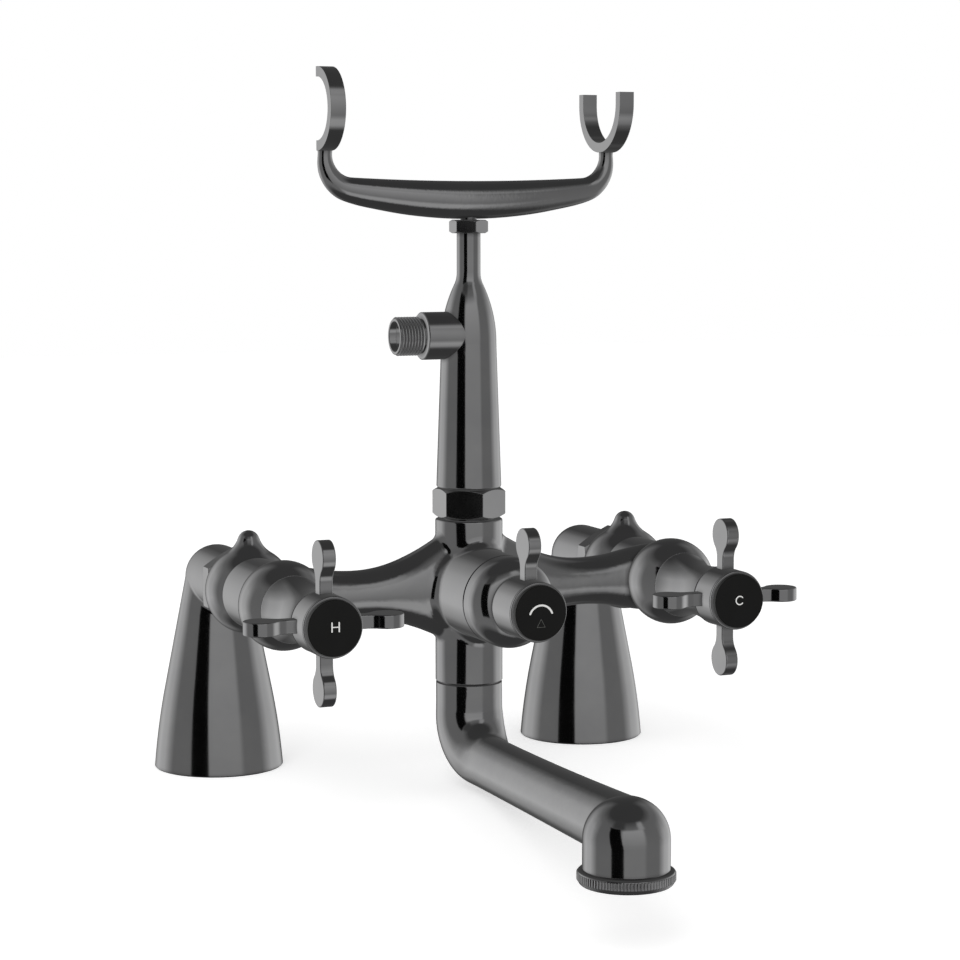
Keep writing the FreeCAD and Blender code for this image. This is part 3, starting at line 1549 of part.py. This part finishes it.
hot = Valve("hot", s.pillar_spacing / 2 * -1, ball_seam, s.chamber_depth, s.hub_standoff, s.hub_length)
cold = Valve("cold", s.pillar_spacing / 2, ball_seam, s.chamber_depth, s.hub_standoff, s.hub_length)
diverter = Valve("diverter", size(0), boss_seam, s.diverter_chamber_depth, s.diverter_hub_standoff,
                 s.diverter_hub_length)
across_ports = [(s.disc_port_offset, 0), (-s.disc_port_offset, 0)]
upright_ports = [(0, s.disc_port_offset), (0, -s.disc_port_offset)]
slanted = s.disc_port_offset * math.sqrt(0.5)
for valve in (hot, cold):
    valve.slot_plane = "XZ_Plane"
    cartridge(valve, "YZ_Plane")
    fixed_disc(valve, upright_ports)
    turning_disc(valve, across_ports)
    valve_shroud(valve)
    handle(valve, (0, 90, 180, 270))
diverter.slot_plane = "YZ_Plane"
cartridge(diverter, "XZ_Plane")
fixed_disc(diverter, [(slanted, slanted), (-slanted, slanted)])
turning_disc(diverter, [(0, s.disc_port_offset)])
diverter_shroud(diverter)
handle(diverter, (90,))
for valve in (hot, cold, diverter):
    base_seal(valve)
    spindle(valve)
    handle_screw(valve)
    index_disc(valve)

spout()
spout_seals()
retaining_screw()
aerator()
riser()
riser_union()
hose_outlet()
cradle_nut()
cradle_bar()
fork("left_fork", -s.stem_spread, s.left_fork_radius, s.left_prong, -90)
fork("right_fork", s.stem_spread, s.right_fork_radius, s.right_prong, 0)

doc.recompute()
faults = []
for thing in doc.Objects:
    if {"Invalid", "Error"} & set(thing.State):
        faults.append(f"{thing.Label}: {thing.State}")
for part in parts:
    if part.Shape.isNull() or not part.Shape.isValid():
        faults.append(f"{part.Label}: bad shape")
if faults:
    raise ValueError("; ".join(faults))
os.makedirs("parts", exist_ok=True)
for part in parts:
    part.Shape.exportStep(f"parts/{part.Label}.step")
    print(f"{part.Label}: {len(part.Shape.Solids)} solid, {part.Shape.Volume:.1f} mm3")
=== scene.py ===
import json
import math

import bmesh
import bpy
from mathutils import Matrix, Vector

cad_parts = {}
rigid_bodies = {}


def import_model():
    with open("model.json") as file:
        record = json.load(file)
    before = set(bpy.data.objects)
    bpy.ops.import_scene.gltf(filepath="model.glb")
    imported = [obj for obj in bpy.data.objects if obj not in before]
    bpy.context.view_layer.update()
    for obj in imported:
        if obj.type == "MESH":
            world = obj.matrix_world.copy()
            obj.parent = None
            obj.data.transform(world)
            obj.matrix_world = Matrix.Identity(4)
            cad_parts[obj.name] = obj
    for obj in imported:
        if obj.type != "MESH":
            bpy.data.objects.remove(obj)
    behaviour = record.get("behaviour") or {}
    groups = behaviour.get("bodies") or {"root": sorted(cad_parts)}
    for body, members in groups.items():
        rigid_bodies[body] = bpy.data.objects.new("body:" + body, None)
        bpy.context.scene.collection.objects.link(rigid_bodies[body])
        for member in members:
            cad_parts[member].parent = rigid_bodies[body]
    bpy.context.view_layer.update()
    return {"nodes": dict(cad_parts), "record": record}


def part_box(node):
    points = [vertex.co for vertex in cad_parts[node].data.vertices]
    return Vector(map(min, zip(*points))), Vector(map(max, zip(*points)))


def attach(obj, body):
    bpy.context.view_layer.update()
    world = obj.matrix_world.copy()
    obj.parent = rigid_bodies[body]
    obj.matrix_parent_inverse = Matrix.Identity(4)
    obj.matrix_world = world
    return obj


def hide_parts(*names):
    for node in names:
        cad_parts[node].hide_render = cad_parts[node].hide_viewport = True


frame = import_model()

# Bath mixer in polished black nickel. Lengths of the pieces are in millimetres and are turned to
# metres when their meshes are made. +X is to the cold side, +Y to the back and +Z up.
MM = 0.001


def corners(node):
    """Lowest and highest corners of a node of the frame, in millimetres."""
    low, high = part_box(node)
    return Vector(low) / MM, Vector(high) / MM


def middle_of(node):
    """The middle of a node's box, which lies on its axis where the node is round."""
    low, high = corners(node)
    return (low + high) / 2


HOSE_AXIS = middle_of("hose_nipple")
OUTLET_AXIS = middle_of("aerator_ring")


def linear(code):
    """An sRGB hex colour as linear red, green, blue and alpha, by the sRGB standard's curve."""
    channels = []
    for place in (1, 3, 5):
        value = int(code[place:place + 2], 16) / 255
        channels.append(value / 12.92 if value <= 0.04045 else ((value + 0.055) / 1.055) ** 2.4)
    return (*channels, 1.0)


def grey(level):
    """A linear grey of the given level."""
    return (level, level, level, 1.0)


def add(tree, kind, inputs=None, stops=None, **settings):
    """Add a node with its settings, its linked or typed inputs and the stops of a colour ramp."""
    node = tree.nodes.new(kind)
    for name, value in settings.items():
        setattr(node, name, value)
    for name, value in (inputs or {}).items():
        if isinstance(value, bpy.types.NodeSocket):
            tree.links.new(value, node.inputs[name])
        else:
            node.inputs[name].default_value = value
    if stops:
        elements = node.color_ramp.elements
        while len(elements) < len(stops):
            elements.new(0.5)
        for element, (position, colour) in zip(elements, stops):
            element.position = position
            element.color = colour
    return node


def per_feature(size_mm):
    """Texture scale for object coordinates in metres, so that one feature measures size_mm."""
    return 1 / (size_mm * MM)


def new_material(name):
    """An empty material with its output node."""
    material = bpy.data.materials.new(name)
    material.use_nodes = True
    material.node_tree.nodes.clear()
    return material, material.node_tree


def finish_material(tree, shader):
    """Send a shader to the material's output."""
    add(tree, "ShaderNodeOutputMaterial", {"Surface": shader.outputs[0]})


# Finishes

# Radians that the wave texture goes through in one unit of its scaled coordinates
WAVE_RATE = 20


def plated_nickel():
    """Black nickel plated on polished cast brass: a dark neutral mirror. Wiped smudges and hairline
    polishing marks vary the gloss a little, the casting leaves a very slight waviness, and the
    plating rounds every edge to a bright line. Its colour is darkened in creases and where parts
    meet: painted shade."""
    material, tree = new_material("black_nickel_plate")
    where = add(tree, "ShaderNodeTexCoord").outputs["Object"]
    smudge = add(tree, "ShaderNodeTexNoise",
                 {"Vector": where, "Scale": per_feature(22), "Detail": 3.0, "Roughness": 0.6})
    hairline_place = add(tree, "ShaderNodeMapping", {"Vector": where, "Scale": (1.0, 1.0, 0.06)})
    hairline = add(tree, "ShaderNodeTexNoise",
                   {"Vector": hairline_place.outputs[0], "Scale": per_feature(0.9), "Detail": 2.0})
    gloss = add(tree, "ShaderNodeMapRange",
                {"Value": smudge.outputs["Fac"], "From Min": 0.35, "From Max": 0.75,
                 "To Min": 0.07, "To Max": 0.11})
    streak = add(tree, "ShaderNodeMath", {0: hairline.outputs["Fac"], 1: 0.025, 2: gloss.outputs[0]},
                 operation="MULTIPLY_ADD")
    tone = add(tree, "ShaderNodeValToRGB", {"Fac": smudge.outputs["Fac"]},
               stops=((0.3, linear("#8c8c8d")), (0.8, linear("#949494"))))
    wave = add(tree, "ShaderNodeTexNoise", {"Vector": where, "Scale": per_feature(16), "Detail": 1.0})
    edge = add(tree, "ShaderNodeBevel", {"Radius": 0.3 * MM}, samples=6)
    # Painted shade: ambient occlusion darkens the colour in creases and where parts meet, within 2 mm
    painted_crease_shade = add(tree, "ShaderNodeAmbientOcclusion", {"Color": tone.outputs["Color"], "Distance": 2 * MM},
                samples=6)
    bump = add(tree, "ShaderNodeBump",
               {"Height": wave.outputs["Fac"], "Strength": 0.25, "Distance": 0.02 * MM,
                "Normal": edge.outputs[0]})
    shader = add(tree, "ShaderNodeBsdfPrincipled",
                 {"Base Color": painted_crease_shade.outputs["Color"], "Metallic": 1.0, "Roughness": streak.outputs[0],
                  "Normal": bump.outputs[0]})
    finish_material(tree, shader)
    return material


def turned_metal(name, light, dark, roughness, radian_mm):
    """A bare metal turned on a lathe: shallow rings along Y and a slightly uneven tone. The rings
    are a sine wave that goes through one radian in radian_mm."""
    material, tree = new_material(name)
    where = add(tree, "ShaderNodeTexCoord").outputs["Object"]
    rings = add(tree, "ShaderNodeTexWave", {"Vector": where, "Scale": per_feature(radian_mm) / WAVE_RATE,
                                            "Distortion": 0.6, "Detail": 2.0}, bands_direction="Y")
    cloud = add(tree, "ShaderNodeTexNoise", {"Vector": where, "Scale": per_feature(6), "Detail": 3.0})
    tone = add(tree, "ShaderNodeValToRGB", {"Fac": cloud.outputs["Fac"]},
               stops=((0.3, linear(dark)), (0.75, linear(light))))
    gloss = add(tree, "ShaderNodeMapRange",
                {"Value": cloud.outputs["Fac"], "To Min": roughness - 0.06, "To Max": roughness + 0.06})
    bump = add(tree, "ShaderNodeBump",
               {"Height": rings.outputs["Fac"], "Strength": 0.3, "Distance": 0.03 * MM})
    shader = add(tree, "ShaderNodeBsdfPrincipled",
                 {"Base Color": tone.outputs["Color"], "Metallic": 1.0, "Roughness": gloss.outputs[0],
                  "Normal": bump.outputs[0]})
    finish_material(tree, shader)
    return material


def speckled(name, base, fleck, roughness, grain_mm, depth_mm, ior):
    """A solid, non-metal finish: two close tones, a fine grain in the surface and an uneven gloss."""
    material, tree = new_material(name)
    where = add(tree, "ShaderNodeTexCoord").outputs["Object"]
    grain = add(tree, "ShaderNodeTexNoise",
                {"Vector": where, "Scale": per_feature(grain_mm), "Detail": 4.0, "Roughness": 0.65})
    cloud = add(tree, "ShaderNodeTexNoise", {"Vector": where, "Scale": per_feature(9), "Detail": 2.0})
    tone = add(tree, "ShaderNodeValToRGB", {"Fac": cloud.outputs["Fac"]},
               stops=((0.3, linear(base)), (0.8, linear(fleck))))
    gloss = add(tree, "ShaderNodeMapRange",
                {"Value": grain.outputs["Fac"], "To Min": roughness - 0.05, "To Max": roughness + 0.05})
    bump = add(tree, "ShaderNodeBump",
               {"Height": grain.outputs["Fac"], "Strength": 0.4, "Distance": depth_mm * MM})
    shader = add(tree, "ShaderNodeBsdfPrincipled",
                 {"Base Color": tone.outputs["Color"], "Metallic": 0.0, "Roughness": gloss.outputs[0],
                  "IOR": ior, "Normal": bump.outputs[0]})
    finish_material(tree, shader)
    return material


FINISHES = {
    "black_nickel": plated_nickel(),
    # Yellow brass, machined and left bare inside the fittings
    "brass": turned_metal("machined_brass", "#e3c079", "#c9a35c", 0.28, 0.4),
    # Stainless steel screws, turned and left dull
    "steel": turned_metal("turned_stainless_steel", "#c9cacb", "#b0b1b3", 0.3, 0.35),
    # Index discs sprayed satin black, a soft deep coat that mirrors little, with the faintest
    # orange peel
    "index_black": speckled("satin_black_enamel", "#090908", "#0d0d0c", 0.42, 0.6, 0.01, 1.32),
    # Alumina discs lapped flat: cream white with a silky gloss
    "ceramic": speckled("lapped_alumina_ceramic", "#ece7dc", "#f3efe6", 0.25, 0.3, 0.002, 1.76),
    # Washers and O-rings moulded in EPDM: matt charcoal
    "seal_rubber": speckled("moulded_epdm_rubber", "#1a1a1b", "#242425", 0.72, 0.35, 0.02, 1.5),
    # Aerator insert and check valve moulded in acetal: milky white, waxy gloss
    "white_plastic": speckled("moulded_acetal", "#dcdcd8", "#e6e6e2", 0.38, 0.5, 0.008, 1.48),
}
# Marks printed on the index discs: white enamel ink, and a thin grey ink
WHITE_INK = speckled("white_enamel_ink", "#f1f1ee", "#f7f7f5", 0.4, 0.25, 0.004, 1.5)
GREY_INK = speckled("thin_grey_ink", "#5d5d5a", "#676764", 0.5, 0.25, 0.004, 1.5)

for subpart in frame["record"]["subparts"]:
    for place in frame["nodes"][subpart["node"]].material_slots:
        place.material = FINISHES[subpart["material_slot"]]


# Pieces made here

SHARP_EDGE = 35.0


def finish_piece(name, mesh, material, body):
    """Link a mesh as a piece that rides on a body and wears the finish given."""
    mesh.materials.append(material)
    mesh.polygons.foreach_set("use_smooth", [True] * len(mesh.polygons))
    mesh.set_sharp_from_angle(angle=math.radians(SHARP_EDGE))
    piece = bpy.data.objects.new(name, mesh)
    bpy.context.scene.collection.objects.link(piece)
    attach(piece, body)
    return piece


def turned_ring(name, rows, segments, place):
    """A closed turned surface. A row is a height and a radius, or a height and a function that
    gives the radius at each turn, and place carries millimetres about +Z to metres."""
    shape = bmesh.new()
    rings = []
    for height, radius in rows:
        ring = []
        for step in range(segments):
            turn = 2 * math.pi * step / segments
            reach = radius(height, turn) if callable(radius) else radius
            point = Vector((reach * math.cos(turn), reach * math.sin(turn), height))
            ring.append(shape.verts.new(place @ point))
        rings.append(ring)
    for lower, upper in zip(rings, rings[1:] + rings[:1]):
        for step in range(segments):
            after = (step + 1) % segments
            shape.faces.new((lower[step], lower[after], upper[after], upper[step]))
    bmesh.ops.recalc_face_normals(shape, faces=shape.faces)
    mesh = bpy.data.meshes.new(name)
    shape.to_mesh(mesh)
    shape.free()
    return mesh


# Hose outlet: a male G3/8 thread with its run-out, a chamfered start and a wide bright rim. It
# points to the left, and its places along that line are measured from the column's axis.
THREAD_PITCH = 1.337
THREAD_RADIUS = 8.33
THREAD_DEPTH = 0.86
NECK_RADIUS = 7.4
NECK_START = 22.0
THREAD_START = 22.9
THREAD_END = 33.35
RIM_REACH = 34.2
HOSE_MOUTH = 6.4
HOSE_BORE = 6.9
MOUTH_END = 31.0
HOSE_INLET = 5.0
SHANK_START = 13.0
SEAT_START = 16.0
RIM_EDGE = 0.25
RIM_STEP = 0.55
THREAD_RUN_ON = 0.3
CREST_POWER = 0.8
STEPS_PER_PITCH = 12
THREAD_SEGMENTS = 144


def thread_radius(reach, turn):
    """Radius of the helix at a distance along the outlet, cut back at the run-out and the chamfer.
    A power under 1 makes the crests wider than the grooves."""
    phase = reach / THREAD_PITCH - turn / (2 * math.pi)
    crest = 0.5 + 0.5 * math.cos(2 * math.pi * phase)
    helix = THREAD_RADIUS - THREAD_DEPTH * (1 - crest ** CREST_POWER)
    run_out = NECK_RADIUS + (reach - THREAD_START)
    chamfer = THREAD_RADIUS - max(0.0, reach - THREAD_END)
    return min(helix, run_out, chamfer)


def hose_thread():
    """The threaded outlet in the riser's boss, bored through for the non-return valve."""
    rows = [(SHANK_START, HOSE_INLET), (SHANK_START, NECK_RADIUS), (NECK_START, NECK_RADIUS)]
    steps = round((THREAD_END + THREAD_RUN_ON - THREAD_START) / THREAD_PITCH * STEPS_PER_PITCH)
    for step in range(steps + 1):
        rows.append((THREAD_START + step * THREAD_PITCH / STEPS_PER_PITCH, thread_radius))
    rim_radius = THREAD_RADIUS - RIM_STEP
    rows += [(RIM_REACH - RIM_EDGE, rim_radius), (RIM_REACH, rim_radius - RIM_EDGE),
             (RIM_REACH, HOSE_MOUTH + RIM_EDGE), (RIM_REACH - RIM_EDGE, HOSE_MOUTH),
             (MOUTH_END, HOSE_MOUTH), (MOUTH_END, HOSE_BORE), (SEAT_START, HOSE_BORE),
             (SEAT_START, HOSE_INLET)]
    place = (Matrix.Scale(MM, 4) @ Matrix.Translation((0, HOSE_AXIS.y, HOSE_AXIS.z))
             @ Matrix.Rotation(math.radians(-90), 4, "Y"))
    mesh = turned_ring("hose_thread", rows, THREAD_SEGMENTS, place)
    piece = finish_piece("hose_thread", mesh, FINISHES["black_nickel"], "fixed_body")
    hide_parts("hose_nipple")


# Aerator ring: a straight knurl between two plain edges, over a rounded foot. Heights are over the
# pillars' feet, and the foot's curve is a list of heights and radii.
RING_RADIUS = 19.2
RING_TOP = -1.5
RING_EDGE = 0.25
RING_FOOT = -6.9
FOOT_CURVE = ((RING_FOOT, 17.2), (-6.75, 17.65), (-6.3, 18.2), (-5.7, 18.6))
KNURLS = 90
KNURL_SEGMENTS = 8
KNURL_DEPTH = 0.34
KNURL_LOW = -4.9
KNURL_HIGH = -2.15
KNURL_RUN_OUT = 0.15
COLLAR_TOP = 3.5
COLLAR_RADIUS = 14.0
INSERT_RADIUS = 12.4
LIP_TOP = -5.5
LIP_RADIUS = 11.0


def knurl_radius(height, turn):
    """Ridges with rounded tops and narrow grooves between them."""
    groove = (0.5 + 0.5 * math.cos(KNURLS * turn)) ** 2
    return RING_RADIUS - KNURL_DEPTH * groove


def aerator_ring():
    """The knurled ring with the collar that screws into the spout's head."""
    plain = RING_RADIUS - KNURL_DEPTH
    rows = [(RING_FOOT, LIP_RADIUS), *FOOT_CURVE, (KNURL_LOW - KNURL_RUN_OUT, plain),
            (KNURL_LOW, knurl_radius), (KNURL_HIGH, knurl_radius), (KNURL_HIGH + KNURL_RUN_OUT, plain),
            (RING_TOP - RING_EDGE, plain), (RING_TOP, plain - RING_EDGE), (RING_TOP, COLLAR_RADIUS),
            (COLLAR_TOP, COLLAR_RADIUS), (COLLAR_TOP, INSERT_RADIUS), (LIP_TOP, INSERT_RADIUS),
            (LIP_TOP, LIP_RADIUS)]
    place = Matrix.Scale(MM, 4) @ Matrix.Translation((0, OUTLET_AXIS.y, 0))
    mesh = turned_ring("knurled_aerator_ring", rows, KNURLS * KNURL_SEGMENTS, place)
    piece = finish_piece("knurled_aerator_ring", mesh, FINISHES["black_nickel"], "swivel_spout")
    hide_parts("aerator_ring")


# Marks on the index discs. Their outlines are drawn on the disc's face: right, then up.
INK_LIFT = 0.01
INK_THICKNESS = 0.06
WELD_DISTANCE = 0.001
ARC_FALL = -1.9
POINTER_GAP = 0.4


def arc_points(radius, start, end, steps, centre=(0.0, 0.0)):
    """Points along an arc, its angles in degrees from the right and towards the top."""
    points = []
    for step in range(steps + 1):
        turn = math.radians(start + (end - start) * step / steps)
        points.append((centre[0] + radius * math.cos(turn), centre[1] + radius * math.sin(turn)))
    return points


def arc_stroke(radius, start, end, width, centre=(0.0, 0.0)):
    """The outline of an arc drawn with a round pen: out along it, round the tip and back."""
    half = width / 2
    ring_steps = 40
    tip_steps = 8
    first_tip, last_tip = arc_points(radius, start, end, 1, centre)
    outline = arc_points(radius + half, start, end, ring_steps, centre)
    outline += arc_points(half, end, end + 180, tip_steps, last_tip)[1:-1]
    outline += arc_points(radius - half, end, start, ring_steps, centre)
    outline += arc_points(half, start + 180, start + 360, tip_steps, first_tip)[1:-1]
    return [outline]


def bar_letter(height, width, stem, bar):
    """The outline of a plain capital H."""
    top = height / 2
    side = width / 2
    inner = side - stem
    half = bar / 2
    right = [(side, -top), (side, top), (inner, top), (inner, half)]
    left = [(-inner, half), (-inner, top), (-side, top), (-side, -top), (-inner, -top), (-inner, -half)]
    return [right + left + [(inner, -half), (inner, -top)]]


def triangle_stroke(half_width, height, width, apex):
    """A thin upright triangle drawn as three strips."""
    outer = [(-half_width, apex - height), (half_width, apex - height), (0.0, apex)]
    centroid = apex - height * 2 / 3
    shrink = 1 - width * 3 / height
    inner = [(x * shrink, centroid + (z - centroid) * shrink) for x, z in outer]
    strips = []
    for first in range(3):
        second = (first + 1) % 3
        strips.append([outer[first], outer[second], inner[second], inner[first]])
    return strips


def printed_mark(name, outlines, node, across, rise, material, body):
    """A thin layer of ink on the front of a disc, set to the right of its middle and above it."""
    middle = middle_of(node)
    face = corners(node)[0].y - INK_LIFT
    shape = bmesh.new()
    for outline in outlines:
        shape.faces.new([shape.verts.new(((middle.x + across + x) * MM, face * MM,
                                          (middle.z + rise + z) * MM)) for x, z in outline])
    bmesh.ops.remove_doubles(shape, verts=shape.verts, dist=WELD_DISTANCE * MM)
    grown = bmesh.ops.extrude_face_region(shape, geom=shape.faces[:])
    front = [item for item in grown["geom"] if isinstance(item, bmesh.types.BMVert)]
    bmesh.ops.translate(shape, verts=front, vec=(0, -INK_THICKNESS * MM, 0))
    bmesh.ops.recalc_face_normals(shape, faces=shape.faces)
    mesh = bpy.data.meshes.new(name)
    shape.to_mesh(mesh)
    shape.free()
    finish_piece(name, mesh, material, body)


def index_marks():
    """H and C, and the diverter's arc over its small pointer."""
    printed_mark("hot_mark", bar_letter(4.0, 3.55, 0.55, 0.45), "hot_index", 0.2, 0.5, WHITE_INK,
                 "hot_control")
    printed_mark("cold_mark", arc_stroke(1.75, 42, 318, 0.5), "cold_index", 0.1, 0.3, WHITE_INK,
                 "cold_control")
    printed_mark("diverter_arc_mark", arc_stroke(5.2, 21, 159, 0.8, (0.0, ARC_FALL)), "diverter_index",
                 0, 0, WHITE_INK, "diverter_control")
    printed_mark("diverter_pointer_mark", triangle_stroke(1.9, 3.5, 0.14, ARC_FALL - POINTER_GAP),
                 "diverter_index", 0, 0, GREY_INK, "diverter_control")


hose_thread()
aerator_ring()
index_marks()


# Camera at the photograph's viewing angle
camera_data = bpy.data.cameras.new("camera")
camera_data.lens = 98.37
camera_data.sensor_width = 36.0
camera_data.shift_x = -0.0133
camera_data.shift_y = -0.0025
camera = bpy.data.objects.new("camera", camera_data)
camera.location = (-0.43115, -1.12104, 0.25513)
CAMERA_HEADING = math.radians(-22.984)
camera.rotation_euler = (math.radians(83.879), 0, CAMERA_HEADING)
bpy.context.scene.collection.objects.link(camera)
bpy.context.scene.camera = camera

# The studio that the metal mirrors: soft-edged screens round the mixer in a dark room, each hung in
# front of the ones before it. Turns are in degrees from the side that the camera looks from,
# positive to its right, and heights in degrees above the horizon. A screen's level is linear and
# changes evenly from its foot to its head.
DARK_ROOM = 0.11
SOFT_LIGHT = 0.75
SCREENS = (
    # Grey walls all round but the back
    dict(left=-158, right=158, foot=-50, head=50, fade=16, low=0.4, high=0.32),
    # Tall white screen at the back left
    dict(left=-146, right=-98, foot=-26, head=28, fade=24, low=1.15, high=0.85),
    # Tall white screen at the back right
    dict(left=102, right=157, foot=-26, head=18, fade=24, low=1.15, high=0.85),
    # Grey card beside the camera, brighter towards its head
    dict(left=-16, right=49, foot=-26, head=35, fade=8, low=0.42, high=0.8),
    # White card low in front, on the right
    dict(left=12, right=56, foot=-52, head=-25, fade=12, low=0.85, high=0.85),
    # Small lamp high in front, on the right
    dict(left=36, right=56, foot=33, head=52, fade=8, low=0.7, high=0.7),
    # Dark gap high in front, on the left
    dict(left=-50, right=-8, foot=36, head=60, fade=12, low=0.12, high=0.12),
    # Black flag left of the camera, its head leaning to the left
    dict(left=-46, right=-13, foot=-27, head=38, fade=2, low=0.006, high=0.006, lean=-0.25),
)


def hang_screen(tree, turn, rise, behind, left, right, foot, head, fade, low, high, lean=0.0):
    """The level seen once a screen hangs in front of what is behind it."""
    leaning = add(tree, "ShaderNodeMath", {0: rise.outputs[0], 1: -lean, 2: turn.outputs[0]},
                  operation="MULTIPLY_ADD")
    level = add(tree, "ShaderNodeMapRange",
                {"Value": rise.outputs[0], "From Min": math.radians(foot),
                 "From Max": math.radians(head), "To Min": low, "To Max": high})
    change = add(tree, "ShaderNodeMath", {0: level.outputs[0], 1: behind.outputs[0]},
                 operation="SUBTRACT")
    for measure, edge, inward in ((leaning, left, 1), (leaning, right, -1),
                                  (rise, foot, 1), (rise, head, -1)):
        inside = add(tree, "ShaderNodeMapRange",
                     {"Value": measure.outputs[0],
                      "From Min": math.radians(edge - inward * fade / 2),
                      "From Max": math.radians(edge + inward * fade / 2)})
        change = add(tree, "ShaderNodeMath", {0: change.outputs[0], 1: inside.outputs[0]},
                     operation="MULTIPLY")
    return add(tree, "ShaderNodeMath", {0: behind.outputs[0], 1: change.outputs[0]}, operation="ADD")


def studio_world():
    """The screens for what is mirrored, an even soft light for the rest, and white for the camera."""
    world = bpy.data.worlds.new("studio")
    world.use_nodes = True
    world.cycles.sampling_method = "NONE"
    tree = world.node_tree
    tree.nodes.clear()
    way = add(tree, "ShaderNodeTexCoord").outputs["Generated"]
    toward_camera = (math.sin(CAMERA_HEADING), -math.cos(CAMERA_HEADING), 0)
    to_the_right = (math.cos(CAMERA_HEADING), math.sin(CAMERA_HEADING), 0)
    ahead = add(tree, "ShaderNodeVectorMath", {0: way, 1: toward_camera}, operation="DOT_PRODUCT")
    aside = add(tree, "ShaderNodeVectorMath", {0: way, 1: to_the_right}, operation="DOT_PRODUCT")
    turn = add(tree, "ShaderNodeMath", {0: aside.outputs["Value"], 1: ahead.outputs["Value"]},
               operation="ARCTAN2")
    upward = add(tree, "ShaderNodeSeparateXYZ", {0: way})
    rise = add(tree, "ShaderNodeMath", {0: upward.outputs["Z"]}, operation="ARCSINE")
    level = add(tree, "ShaderNodeValue")
    level.outputs[0].default_value = DARK_ROOM
    for screen in SCREENS:
        level = hang_screen(tree, turn, rise, level, **screen)
    mirrored = add(tree, "ShaderNodeBackground", {"Color": grey(1.0), "Strength": level.outputs[0]})
    soft = add(tree, "ShaderNodeBackground", {"Color": grey(1.0), "Strength": SOFT_LIGHT})
    white = add(tree, "ShaderNodeBackground", {"Color": grey(1.0), "Strength": 1.0})
    path = add(tree, "ShaderNodeLightPath")
    mirror_ray = add(tree, "ShaderNodeMath",
                     {0: path.outputs["Is Glossy Ray"], 1: path.outputs["Is Transmission Ray"]},
                     operation="MAXIMUM")
    lit = add(tree, "ShaderNodeMixShader",
              {0: mirror_ray.outputs[0], 1: soft.outputs[0], 2: mirrored.outputs[0]})
    seen = add(tree, "ShaderNodeMixShader", {0: path.outputs["Is Camera Ray"], 1: lit.outputs[0],
                                             2: white.outputs[0]})
    add(tree, "ShaderNodeOutputWorld", {"Surface": seen.outputs[0]})
    bpy.context.scene.world = world


studio_world()
bpy.context.scene.view_settings.view_transform = "Standard"

# One soft lamp above and left of the camera, which shades what is not metal
LAMP_AIM = Vector((0, -0.1, 0.1))
lamp_data = bpy.data.lights.new("soft_lamp", "AREA")
lamp_data.shape = "DISK"
lamp_data.size = 1.2
lamp_data.energy = 12.0
lamp = bpy.data.objects.new("soft_lamp", lamp_data)
lamp.location = (-1.1, -1.5, 1.5)
lamp.rotation_euler = (LAMP_AIM - lamp.location).to_track_quat("-Z", "Y").to_euler()
lamp.visible_glossy = False
bpy.context.scene.collection.objects.link(lamp)


# Pale floor. It lies at the pillars' feet and sinks towards the front, as a bath's rim does, because
# the aerator hangs a little lower than the feet.
FLOOR_HALF = 3.0
DIP_START = -0.10
DIP_END = -0.20
DIP_DEPTH = 0.035
DIP_STEPS = 16
# What the floor glows with, for the camera alone
CAMERA_GLOW = 0.56


def pale_floor():
    """White matt floor that keeps the soft shadow and fades into the white around it."""
    material, tree = new_material("pale_matt_floor")
    where = add(tree, "ShaderNodeTexCoord").outputs["Object"]
    cloud = add(tree, "ShaderNodeTexNoise", {"Vector": where, "Scale": per_feature(300), "Detail": 2.0})
    tone = add(tree, "ShaderNodeValToRGB", {"Fac": cloud.outputs["Fac"]},
               stops=((0.2, grey(0.64)), (0.8, grey(0.66))))
    matt = add(tree, "ShaderNodeBsdfDiffuse", {"Color": tone.outputs["Color"], "Roughness": 0.5})
    path = add(tree, "ShaderNodeLightPath")
    glow = add(tree, "ShaderNodeMath", {0: path.outputs["Is Camera Ray"], 1: CAMERA_GLOW},
               operation="MULTIPLY")
    fade = add(tree, "ShaderNodeEmission", {"Color": grey(1.0), "Strength": glow.outputs[0]})
    both = add(tree, "ShaderNodeAddShader", {0: matt.outputs[0], 1: fade.outputs[0]})
    finish_material(tree, both)
    return material


def floor():
    """A broad sheet in metres whose dip eases in and out."""
    shape = bmesh.new()
    lines = [(FLOOR_HALF, 0.0), (DIP_START, 0.0)]
    for step in range(1, DIP_STEPS + 1):
        share = step / DIP_STEPS
        lines.append((DIP_START + (DIP_END - DIP_START) * share,
                      -DIP_DEPTH * share * share * (3 - 2 * share)))
    lines.append((-FLOOR_HALF, -DIP_DEPTH))
    rows = []
    for y, z in lines:
        rows.append([shape.verts.new((x, y, z)) for x in (-FLOOR_HALF, FLOOR_HALF)])
    for upper, lower in zip(rows, rows[1:]):
        shape.faces.new((upper[0], lower[0], lower[1], upper[1]))
    mesh = bpy.data.meshes.new("pale_floor")
    shape.to_mesh(mesh)
    shape.free()
    mesh.polygons.foreach_set("use_smooth", [True] * len(mesh.polygons))
    mesh.materials.append(pale_floor())
    ground = bpy.data.objects.new("pale_floor", mesh)
    ground.visible_glossy = False
    bpy.context.scene.collection.objects.link(ground)


floor()

# The plating mirrors the studio alone, and no piece mirrors another
for piece in bpy.context.scene.objects:
    piece.visible_glossy = False
